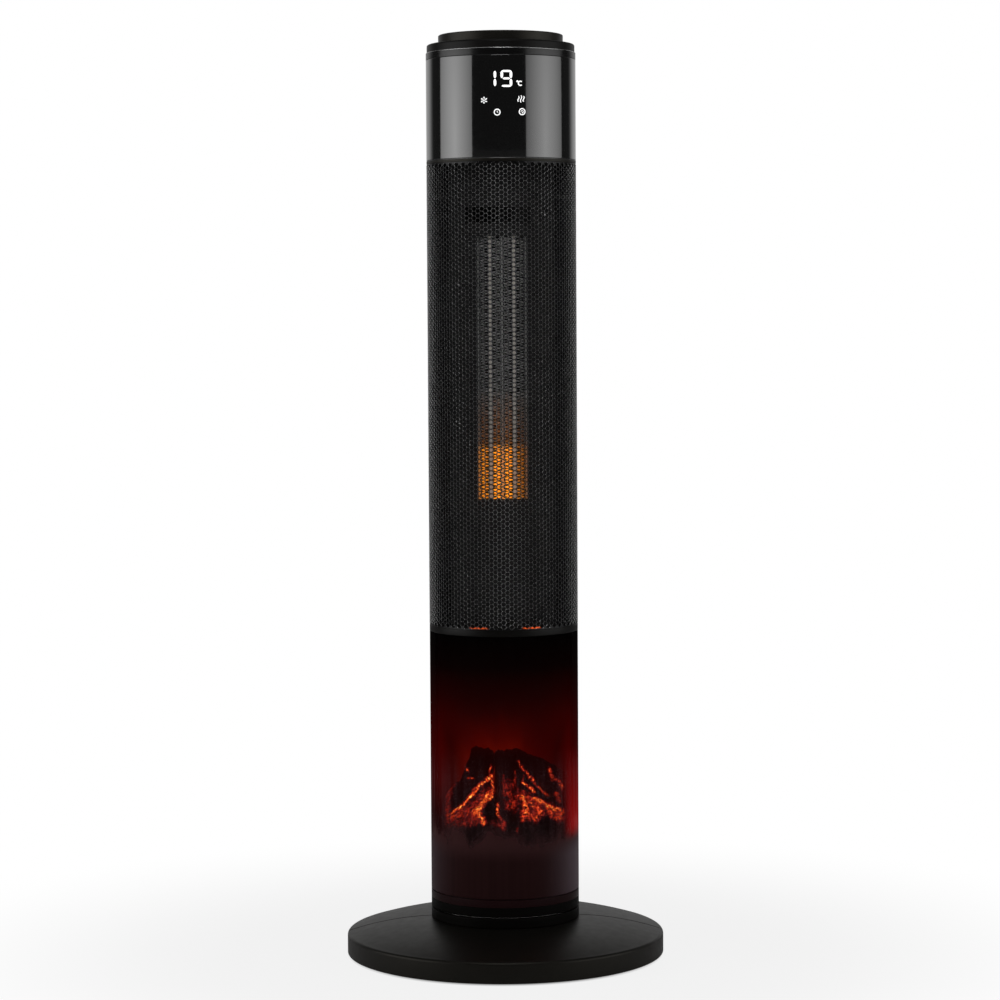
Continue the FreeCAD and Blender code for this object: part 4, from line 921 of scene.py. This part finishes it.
def column_cells(sheet, column):
    """One column of holes with plain strips at its foot and head; every other column is half a step up."""
    arc = first_column + column * COLUMN_STEP
    raised = column % 2 == 1
    for row in range(ROWS - raised):
        sheet.hole(arc, first_row + HOLE_PITCH * (row + 0.5 + 0.5 * raised))
    near = CELL_REACH / 2
    far = CELL_REACH
    half = HOLE_PITCH / 2
    if raised:
        sheet.band(arc, first_row, far, first_row + half, near)
        sheet.band(arc, rows_end - half, near, rows_end, far)
    reach = far if raised else near
    sheet.band(arc, mesh_low, reach, first_row, reach)
    sheet.band(arc, rows_end, reach, mesh_high, reach)


def side_strip(sheet, column, side):
    """The plain strip between the outermost column and the upright edge of the sheet."""
    arc = first_column + column * COLUMN_STEP
    edge = side * mesh_arc / 2
    near = arc + side * CELL_REACH / 2
    far = arc + side * CELL_REACH
    raised = column % 2 == 1
    end_arc = far if raised else near
    outline = [(end_arc, mesh_low), (end_arc, first_row)]
    for step in range(1, 2 * ROWS):
        outline.append((near if (step + raised) % 2 == 0 else far, first_row + step * HOLE_PITCH / 2))
    outline += [(end_arc, rows_end), (end_arc, mesh_high)]
    for (low_arc, low), (high_arc, high) in zip(outline, outline[1:]):
        patch = [(low_arc, low), (edge, low), (edge, high), (high_arc, high)]
        sheet.skin(*(patch if side > 0 else patch[::-1]))


for part in range(MESH_PIECES):
    sheet = Sheet()
    first = COLUMNS * part // MESH_PIECES
    last = COLUMNS * (part + 1) // MESH_PIECES
    for column in range(first, last):
        column_cells(sheet, column)
    if part == 0:
        side_strip(sheet, first, -1)
    if part == MESH_PIECES - 1:
        side_strip(sheet, last - 1, 1)
    sheet.close()
    panel = add_piece(
        f"mesh_panel_{part + 1}",
        sheet.vertices,
        sheet.faces,
        SLOTS["black_mesh"],
        "tower",
        "black_mesh",
        "mesh_grille",
    )
    panel.data.set_sharp_from_angle(angle=MESH_SHARP)


# Logs and embers behind the window

EMBER_SPREAD = 1.4
EMBER_PLANE = -20.0
DRIFT = 0.18
FALLOFF = 0.6
VEIN_REACH = 3.0
# Each vein is a line of places across and up in the front view, its width in millimetres and its heat
VEINS = [
    # left side: a tip, a long slope, an upright crack with a hot run under it, lace patches and loose sparks
    ([(-12, 162.7), (-12.9, 158), (-11.1, 154.4)], 1.1, 0.62),
    ([(-11, 154.4), (-17.5, 150.7), (-24.7, 143.3), (-32, 133.5), (-39.3, 127.5), (-46.6, 122)], 1.4, 1.0),
    ([(-10.6, 150.7), (-10.2, 145), (-10.6, 137.7), (-12.9, 134)], 1.0, 0.95),
    ([(-12.9, 140.5), (-17.5, 133), (-22.9, 125.7), (-26.6, 123.8)], 2.4, 0.88),
    ([(-22.9, 125.7), (-21.1, 120.1), (-18.4, 115.5)], 2.4, 1.0),
    ([(-15, 143), (-24, 133), (-30, 127)], 4.0, 0.42),
    ([(-28, 122), (-36, 124), (-46, 118)], 5.0, 0.5),
    ([(-24, 118), (-34, 115), (-44, 113)], 4.5, 0.42),
    ([(-41.2, 152.5), (-46.6, 144), (-48.5, 133), (-48.5, 122), (-44.8, 112.7)], 3.0, 0.42),
    ([(-32.5, 160.4), (-31.5, 158)], 0.9, 0.8),
    ([(-30.2, 153.5), (-27, 153)], 0.9, 0.7),
    # middle: dull red lines round the upright log and a hot crack beside the stub
    ([(-1, 156), (-2, 146), (0.8, 137.7)], 0.9, 0.5),
    ([(8.5, 159), (9, 148)], 0.9, 0.5),
    ([(2.6, 147), (7, 148), (10.8, 145), (10.8, 137.7), (9, 129.4), (3, 127)], 1.0, 0.42),
    ([(3, 144), (6, 130)], 6.0, 0.45),
    ([(-8, 113), (-2, 112)], 4.0, 0.42),
    ([(-6.1, 131), (-6.1, 122), (-3.8, 117.8)], 1.0, 0.9),
    ([(-1, 115.5), (0.3, 107)], 0.8, 0.4),
    ([(10.8, 112), (10.8, 106)], 0.8, 0.4),
    # right side: a long slope, a branch, a hot patch, a low run and the rim of a log end
    ([(11.7, 167), (15.4, 161), (22.7, 152.5), (26.3, 147), (36, 138)], 1.0, 0.7),
    ([(15.8, 155), (15.4, 148)], 0.8, 0.5),
    ([(15.8, 148.4), (20.9, 145), (25.4, 141.4)], 1.3, 0.85),
    ([(15.8, 136.8), (18.1, 127.5), (15.8, 118.2)], 2.0, 0.95),
    ([(16, 137), (24, 131), (30, 124)], 5.0, 0.55),
    ([(18, 121), (26, 119)], 4.5, 0.6),
    ([(38, 126), (46, 120)], 5.0, 0.5),
    ([(24.5, 135.9), (30.9, 132.6), (36.4, 128.9), (44.6, 126.6), (48.2, 124.7)], 1.3, 1.0),
    ([(31.3, 125.2), (27.2, 120.6)], 1.1, 0.9),
    ([(36.4, 128.4), (40.9, 120), (46.4, 116.4), (49.1, 122)], 2.4, 0.62),
    ([(37.3, 161), (40.9, 151.6), (46.4, 149.8), (50, 143.3), (51.9, 137.7)], 1.5, 0.62),
    ([(43.7, 139.6), (46.4, 133)], 1.8, 0.6),
]


def in_front_view(point):
    """Where the camera's line through a point meets the ember plane: across and up, in millimetres."""
    scale = (EMBER_PLANE * MM - CAMERA_PLACE[1]) / (point[1] - CAMERA_PLACE[1])
    return Vector((point[0] * scale, CAMERA_PLACE[2] + (point[2] - CAMERA_PLACE[2]) * scale)) / MM


def heats(points):
    """How hot each point is, by its distance in the front view from the glowing veins."""
    values = []
    for point in points:
        spot = in_front_view(point)
        drift = Vector(point) / MM * DRIFT
        spot.x += EMBER_SPREAD * noise.noise(drift)
        spot.y += EMBER_SPREAD * noise.noise(drift + Vector((40, 0, 0)))
        hottest = 0.0
        for line, width, strength in VEINS:
            for start, end in zip(line, line[1:]):
                first = Vector(start)
                run = Vector(end) - first
                share = max(0.0, min(1.0, (spot - first).dot(run) / run.length_squared))
                gap = (spot - first - run * share).length / width
                if gap < VEIN_REACH:
                    hottest = max(hottest, strength * math.exp(-gap * gap * FALLOFF))
        values.append(hottest)
    return values


def ember_skin(name, dark, pale, strength):
    """Charred bark or ash; where the mesh is marked hot, fire shows as a fine lace of lines and grains."""
    tree = Tree(name)
    glow_mask = tree.add("ShaderNodeAttribute", attribute_name="ember_mark").outputs["Fac"]
    fibre = tree.noise(1.0, 6, tree.stretched(500.0, 500.0, 120.0), 0.6)
    grit = tree.noise(900.0, 4)
    wide_lace = tree.falling(tree.off(tree.noise(230.0, 3), 0.5), 0.0, 0.04)
    fine_lace = tree.between(tree.off(tree.noise(520.0, 2), 0.5), 0.8, 0.0, 0.0, 0.05)
    lace = tree.times(tree.larger(wide_lace, fine_lace), 0.85)
    grains = tree.between(tree.cells(640.0), 0.8, 0.0, 0.06, 0.34)
    patchy = tree.between(tree.noise(260.0, 4), 0.55, 1.2, 0.36, 0.62)
    texture = tree.times(patchy, tree.maths("ADD", lace, grains))
    core = tree.times(tree.times(glow_mask, glow_mask), 0.14)
    glow = tree.maths("ADD", core, tree.times(glow_mask, texture))
    fire = tree.ramp(
        glow,
        (0.12, 0.0, 0.0, 0.0),
        (0.25, 0.1, 0.004, 0.003),
        (0.5, 0.45, 0.025, 0.005),
        (0.75, 0.85, 0.16, 0.018),
        (1.0, 1.0, 0.5, 0.1),
    )
    rough = tree.maths("ADD", fibre, tree.times(grit, 0.5))
    return tree.principled(
        Base_Color=tree.blend(fibre, dark, pale),
        Roughness=tree.between(grit, 0.75, 0.95),
        Specular_IOR_Level=0.2,
        Emission_Color=fire,
        Emission_Strength=strength,
        Normal=tree.bump(rough, 0.8 * MM),
    )


EMBER_STRENGTH = 5.2
BARK = ember_skin("charred_bark", (0.012, 0.007, 0.007, 1.0), (0.05, 0.028, 0.026, 1.0), EMBER_STRENGTH)
ASH = ember_skin("ash_bed", (0.02, 0.014, 0.013, 1.0), (0.07, 0.05, 0.045, 1.0), EMBER_STRENGTH)


def heated(piece):
    """Marks how hot each vertex of a piece is."""
    marks = piece.data.attributes.new("ember_mark", "FLOAT", "POINT")
    marks.data.foreach_set("value", heats([vertex.co for vertex in piece.data.vertices]))


LOG_SIDES = 56
LOG_STEPS = 72
LOG_CIRCLE = [Vector((*around(1.0, 360 * side / LOG_SIDES), 0.0)) for side in range(LOG_SIDES)]
SWELLING = 0.16
FURROWS = 0.2
GRIT = 0.35
RAGGED = 2.4
BLUNT = 4.0
BLUNTING = 0.3
HOLLOW = 1.2
END_RINGS = (0.8, 0.6, 0.4, 0.2)


def squares(lower, upper):
    """Faces between two rings of vertex numbers."""
    beside = lower[1:] + lower[:1]
    above = upper[1:] + upper[:1]
    return list(zip(lower, beside, above, upper))


def log(name, start, end, thick, thin, seed, skin=BARK):
    """A charred log: furrowed bark, swellings and broken, hollowed ends. Sizes in millimetres."""
    first = Vector(start)
    axis = Vector(end) - first
    turn = axis.to_track_quat("Z", "Y")
    shift = Vector((seed * 17.0, seed * 5.0, seed * 29.0))
    vertices = []

    def new_ring():
        return list(range(len(vertices), len(vertices) + LOG_SIDES))

    rings = []
    for step in range(LOG_STEPS + 1):
        share = step / LOG_STEPS
        along = axis.length * share
        from_end = min(share, 1 - share)
        blunt = max(0.0, 1 - from_end * axis.length / BLUNT)
        ragged = RAGGED * max(0.0, 1 - from_end * 8) * (1 if share > 0.5 else -1)
        girth = thick + (thin - thick) * share
        rings.append(new_ring())
        for spot in LOG_CIRCLE:
            swell = noise.fractal(spot * 0.9 + shift + Vector((0, 0, along * 0.05)), 1.0, 2.0, 3)
            furrow = abs(noise.fractal(spot * 3.2 + shift + Vector((0, 0, along * 0.045)), 0.9, 2.1, 4))
            grit = noise.fractal((spot * girth + Vector((0, 0, along))) * 0.6 + shift, 0.8, 2.0, 3)
            radius = girth * (1 + SWELLING * swell - FURROWS * furrow) + GRIT * grit
            local = spot * radius * (1 - BLUNTING * blunt * blunt)
            local.z = along + ragged * noise.noise(spot * 2.3 + shift)
            vertices.append((first + turn @ local) * MM)
    faces = []
    for lower, upper in zip(rings, rings[1:]):
        faces += squares(lower, upper)
    for rim, inwards in ((rings[0], 1), (rings[-1], -1)):
        centre = sum((vertices[number] for number in rim), Vector()) / LOG_SIDES
        sink = axis.normalized() * MM * inwards
        outer = rim
        end_faces = []
        for inset in END_RINGS:
            inner = new_ring()
            for spot, number in zip(LOG_CIRCLE, rim):
                dent = 0.5 * math.cos(inset * 40) + 0.9 * noise.noise(spot * inset * 4 + shift)
                vertices.append(centre.lerp(vertices[number], inset) + sink * (HOLLOW + dent))
            end_faces += squares(outer, inner)
            outer = inner
        end_faces.append(tuple(outer))
        faces += [face[::-inwards] for face in end_faces]
    heated(add_piece(name, vertices, faces, skin, "tower", "log_resin", "log_set"))


log("log_rear_left", (-31, -3, 118), (-17.5, 1, 175), 14.0, 11.5, 1)
log("log_upright", (2, -18, 108), (1, -16, 176), 11.5, 10.5, 2)
log("log_rear_right", (4, 0, 166), (50, -8, 146), 12.0, 11.0, 3)
log("log_front_left", (-13, -28, 153), (-48, -24, 116), 9.0, 8.0, 4)
log("log_front_right", (14, -30, 163), (34, -34, 118), 8.5, 8.0, 5)
log("log_end_right", (32, -4, 142), (43, -32, 150), 11.0, 10.0, 6)
log("log_end_left", (-33, 2, 138), (-43, -24, 136), 10.5, 9.5, 8)
log("log_stub", (-12, -20, 132), (-12.5, -44, 130.5), 7.5, 7.0, 7, ASH)


BED_WIDTH = 108.0
BED_FRONT = -51.0
BED_DEPTH = 64.0
BED_LOW = 104.0
BED_RISE = 34.0
BED_FLOOR = 80.0
BED_REACH = 56.5
BED_THICKNESS = 2.5
LUMPS = 4.5
STONES = 3.5
SHOULDER = 0.72
SHOULDER_DROP = 52.0


def ember_mound(columns=190, rows=130):
    """The heaped ember bed that fills the gaps between the logs and slopes down to the window."""
    half_width = BED_WIDTH / 2
    vertices = []
    for row in range(rows + 1):
        y = BED_FRONT + BED_DEPTH * row / rows
        rise = min(1.0, row / rows * 1.5)
        for column in range(columns + 1):
            x = half_width * (2 * column / columns - 1)
            reach = math.hypot(x, min(y, 0.0)) / half_width
            spot = Vector((x, y, 0.0))
            lumps = noise.fractal(spot * 0.07, 0.9, 2.0, 4)
            stones = abs(noise.fractal(spot * 0.22 + Vector((9, 3, 0)), 0.8, 2.1, 3))
            z = BED_LOW + BED_RISE * rise * rise * (3 - 2 * rise) + LUMPS * lumps + STONES * stones
            z -= SHOULDER_DROP * max(0.0, reach - SHOULDER)
            vertices.append((x * MM, y * MM, max(z, BED_FLOOR) * MM))
    faces = []
    for row in range(rows):
        for column in range(columns):
            edge_glow = row * (columns + 1) + column
            square = (edge_glow, edge_glow + 1, edge_glow + columns + 2, edge_glow + columns + 1)
            if all(math.hypot(*vertices[number][:2]) < BED_REACH * MM for number in square):
                faces.append(square)
    mound = add_piece("ember_mound", vertices, faces, ASH, "tower", "ember_resin", "ember_bed")
    thickness = mound.modifiers.new("thickness", "SOLIDIFY")
    thickness.thickness = BED_THICKNESS * MM
    thickness.offset = -1.0
    heated(mound)


ember_mound()


# Lit signs on the display

SIGN_LIFT = 0.06
SIGN_SINK = 0.3
LIT = glowing("lit_sign", grey(0.9), grey(1.0), 1.0)


def on_panel(across, height, lift):
    """A point on the curved panel; across is measured along its face from the middle, in millimetres."""
    radius = (TOWER_RADIUS + lift) * MM
    angle = across / TOWER_RADIUS
    return (radius * math.sin(angle), -radius * math.cos(angle), height * MM)


def stroke(samples):
    """A raised stroke on the panel; each sample is its place across, its height and half its width."""
    vertices = []
    for index, (across, height, half) in enumerate(samples):
        before = Vector(samples[max(index - 1, 0)][:2])
        after = Vector(samples[min(index + 1, len(samples) - 1)][:2])
        along = (after - before).normalized()
        side = Vector((-along.y, along.x)) * half
        for lift in (SIGN_LIFT, -SIGN_SINK):
            vertices.append(on_panel(across + side.x, height + side.y, lift))
            vertices.append(on_panel(across - side.x, height - side.y, lift))
    faces = [(0, 2, 3, 1)]
    last = 4 * (len(samples) - 1)
    for low in range(0, last, 4):
        high = low + 4
        for left, right in ((0, 1), (1, 3), (3, 2), (2, 0)):
            faces.append((low + left, low + right, high + right, high + left))
    faces.append((last, last + 1, last + 3, last + 2))
    return vertices, faces


def arc(across, height, radius, start, end, half, steps=24):
    """A curved stroke about a centre, between two angles in degrees."""
    samples = []
    for step in range(steps + 1):
        x, z = around(radius, start + (end - start) * step / steps)
        samples.append((across + x, height + z, half))
    return stroke(samples)


def bar(start, end, width, steps=12):
    """One bar of a digit, narrowed at both ends."""
    first = Vector(start)
    run = Vector(end) - first
    samples = []
    for step in range(steps + 1):
        place = first + run * step / steps
        from_end = min(step, steps - step) / steps * run.length
        samples.append((place.x, place.y, width / 2 * min(1.0, 0.4 + from_end / width)))
    return stroke(samples)


DIGIT_WIDTH = 9.7
DIGIT_HEIGHT = 13.8
DIGIT_FOOT = 731.8
UPRIGHT = 2.16
CROSSBAR = 1.65
RIGHT_BARS = ("upper_right", "lower_right")
DIGIT_BARS = {"1": RIGHT_BARS, "9": RIGHT_BARS + ("top", "upper_left", "middle", "low")}


def digit(figure, left):
    """Bars of a seven-bar figure whose cell starts at a place across the panel."""
    near = left + UPRIGHT / 2
    far = left + DIGIT_WIDTH - UPRIGHT / 2
    middle = DIGIT_FOOT + DIGIT_HEIGHT / 2
    foot = DIGIT_FOOT + CROSSBAR / 2
    head = DIGIT_FOOT + DIGIT_HEIGHT - CROSSBAR / 2
    places = {
        "top": ((near, head), (far, head), CROSSBAR),
        "middle": ((near + 0.8, middle), (far - 0.8, middle), CROSSBAR),
        "low": ((near, foot), (far, foot), CROSSBAR),
        "upper_left": ((near, middle + 0.4), (near, head), UPRIGHT),
        "upper_right": ((far, middle + 0.4), (far, head), UPRIGHT),
        "lower_right": ((far, foot), (far, middle - 0.4), UPRIGHT),
    }
    return [bar(*places[name]) for name in DIGIT_BARS[figure]]


def fan_sign(across, height):
    """Six petals about a hub."""
    strokes = [arc(across, height, 0.3, 0, 360, 0.3, 12)]
    for petal in range(6):
        near_x, near_z = around(1.2, 20 + 60 * petal)
        far_x, far_z = around(2.8, 32 + 60 * petal)
        strokes.append(
            stroke(
                [
                    (across + near_x, height + near_z, 0.3),
                    (across + (near_x + far_x) / 2, height + (near_z + far_z) / 2, 0.5),
                    (across + far_x, height + far_z, 0.3),
                ]
            )
        )
    return strokes


def heat_sign(across, height):
    """Three waves that rise side by side, the middle one tallest."""
    strokes = []
    for shift, reach in ((-2.2, 2.2), (0.0, 2.8), (2.2, 2.2)):
        samples = []
        for step in range(17):
            share = step / 8 - 1
            sway = 0.55 * math.sin(share * math.pi)
            samples.append((across + shift + sway, height + share * reach, 0.36))
        strokes.append(stroke(samples))
    return strokes


def clock_sign(across, height):
    """A dial with two hands."""
    return [
        arc(across, height, 2.4, 0, 360, 0.38),
        stroke([(across, height + 1.2, 0.22), (across, height, 0.22)]),
        stroke([(across, height, 0.22), (across + 0.9, height - 0.3, 0.22)]),
    ]


def swing_sign(across, height):
    """A ring round a turning arrow."""
    return [
        arc(across, height, 2.5, 0, 360, 0.36),
        arc(across, height, 0.95, 200, -70, 0.22),
        stroke([(across + 1.0, height - 1.0, 0.05), (across - 0.1, height - 0.95, 0.55)]),
    ]


def degree_sign(across, height):
    """A small ring and a capital C for degrees Celsius."""
    return [
        arc(across, height + 3.6, 0.5, 0, 360, 0.35, 12),
        arc(across + 2.5, height + 2.0, 1.7, 45, 315, 0.45),
    ]


def lit(name, strokes):
    """One lit figure or sign made of its strokes."""
    return add_piece(name, *joined(*strokes), LIT, "tower", None)


lit("tens_figure", digit("1", -13.4))
lit("units_figure", digit("9", -0.2))
lit("degrees_sign", degree_sign(13.8, 732.8))
lit("fan_sign", fan_sign(-14.0, 721.1))
lit("heat_sign", heat_sign(16.8, 722.0))
lit("clock_sign", clock_sign(-3.1, 711.2))
lit("swing_sign", swing_sign(17.7, 711.6))


# Camera of the photograph

CAMERA_TILT = math.radians(3.523)
CAMERA_ROLL = math.radians(-0.33)
LENS = 108.75
SENSOR = 36.0

camera = bpy.data.objects.new("camera", bpy.data.cameras.new("camera"))
camera.data.lens = LENS
camera.data.sensor_width = SENSOR
bpy.context.scene.collection.objects.link(camera)
camera.matrix_world = (
    Matrix.Translation(CAMERA_PLACE)
    @ Matrix.Rotation(math.pi / 2 - CAMERA_TILT, 4, "X")
    @ Matrix.Rotation(CAMERA_ROLL, 4, "Z")
)
bpy.context.scene.camera = camera
bpy.context.scene.view_settings.view_transform = "Standard"


# Lights, world and floor

WALL_START = 0.6
WALL_END = 0.85
FRONT_AMBIENT = 0.03
BACK_AMBIENT = 0.45
SIDE_SPREAD = math.radians(90)
FRONT_TILT = math.radians(55)
FLOOR_SIZE = 30.0
SHADOW_NEAR = 0.2
SHADOW_FAR = 0.6
NEAR_WHITE = 0.85
UNDER_BASE = 0.125


def lamp(name, azimuth, distance, height, width, tall, radiance):
    """A soft upright lamp at an angle from the camera's side, hidden from the camera."""
    light = bpy.data.lights.new(name, "AREA")
    light.shape = "RECTANGLE"
    light.size = width
    light.size_y = tall
    light.energy = radiance * math.pi * width * tall
    lamp_object = bpy.data.objects.new(name, light)
    turn = math.radians(azimuth)
    lamp_object.location = (distance * math.sin(turn), -distance * math.cos(turn), height)
    lamp_object.rotation_euler = (math.pi / 2, 0.0, turn)
    lamp_object.visible_camera = False
    bpy.context.scene.collection.objects.link(lamp_object)
    return lamp_object


for side_lamp in (
    lamp("left_softbox", azimuth=-75, distance=1.9, height=1.0, width=2.24, tall=1.9, radiance=0.45),
    lamp("right_softbox", azimuth=72, distance=1.9, height=1.0, width=2.53, tall=1.9, radiance=0.36),
):
    side_lamp.data.spread = SIDE_SPREAD
front_lamp = lamp("front_softbox", azimuth=0, distance=1.5, height=1.75, width=0.8, tall=0.5, radiance=4.0)
front_lamp.rotation_euler = (FRONT_TILT, 0.0, 0.0)
top_lamp = lamp("top_softbox", azimuth=0, distance=0.3, height=2.6, width=1.8, tall=1.2, radiance=0.6)
top_lamp.rotation_euler = (0.0, 0.0, 0.0)


def seen_as(tree, share, other, seen):
    """One shader for the camera, in the given share, and another one for all other rays."""
    camera_ray = tree.add("ShaderNodeLightPath").outputs["Is Camera Ray"]
    shares = {0: tree.times(camera_ray, share), 1: other, 2: seen}
    return tree.add("ShaderNodeMixShader", shares).outputs["Shader"]


def studio():
    """White for the camera; for other rays a white wall behind the object and a dark room in front."""
    tree = Tree("studio", bpy.data.worlds)
    backwards = tree.axis("Y", tree.coordinates["Generated"])
    wall = tree.between(backwards, FRONT_AMBIENT, BACK_AMBIENT, WALL_START, WALL_END, SMOOTH)
    room = tree.add("ShaderNodeBackground", {"Color": grey(1.0), "Strength": wall}).outputs["Background"]
    white = tree.add("ShaderNodeBackground", {"Color": grey(1.0)}).outputs["Background"]
    tree.add("ShaderNodeOutputWorld", {"Surface": seen_as(tree, 1.0, room, white)})
    return tree.holder


bpy.context.scene.world = studio()


def floor_paint():
    """White paper: the camera sees it nearly white, and its diffuse share keeps the object's shadow."""
    tree = Tree("floor_paper")
    paper = tree.blend(tree.noise(6.0, 3), grey(0.82), grey(0.86))
    diffuse = tree.add("ShaderNodeBsdfDiffuse", {"Color": paper}).outputs["BSDF"]
    white = tree.add("ShaderNodeEmission", {"Color": grey(1.0), "Strength": 1.0}).outputs["Emission"]
    reach = tree.length(tree.place)
    away = tree.between(reach, NEAR_WHITE, 1.0, SHADOW_NEAR, SHADOW_FAR, SMOOTH)
    outside = tree.rising(reach, UNDER_BASE, BASE_RADIUS * MM)
    surface = seen_as(tree, tree.times(away, outside), diffuse, white)
    tree.add("ShaderNodeOutputMaterial", {"Surface": surface})
    return tree.holder


half = FLOOR_SIZE / 2
corners = [(-half, -half, 0), (half, -half, 0), (half, half, 0), (-half, half, 0)]
floor_mesh = bpy.data.meshes.new("floor")
floor_mesh.from_pydata(corners, [], [(0, 1, 2, 3)])
floor_mesh.materials.append(floor_paint())
floor = bpy.data.objects.new("floor", floor_mesh)
bpy.context.scene.collection.objects.link(floor)
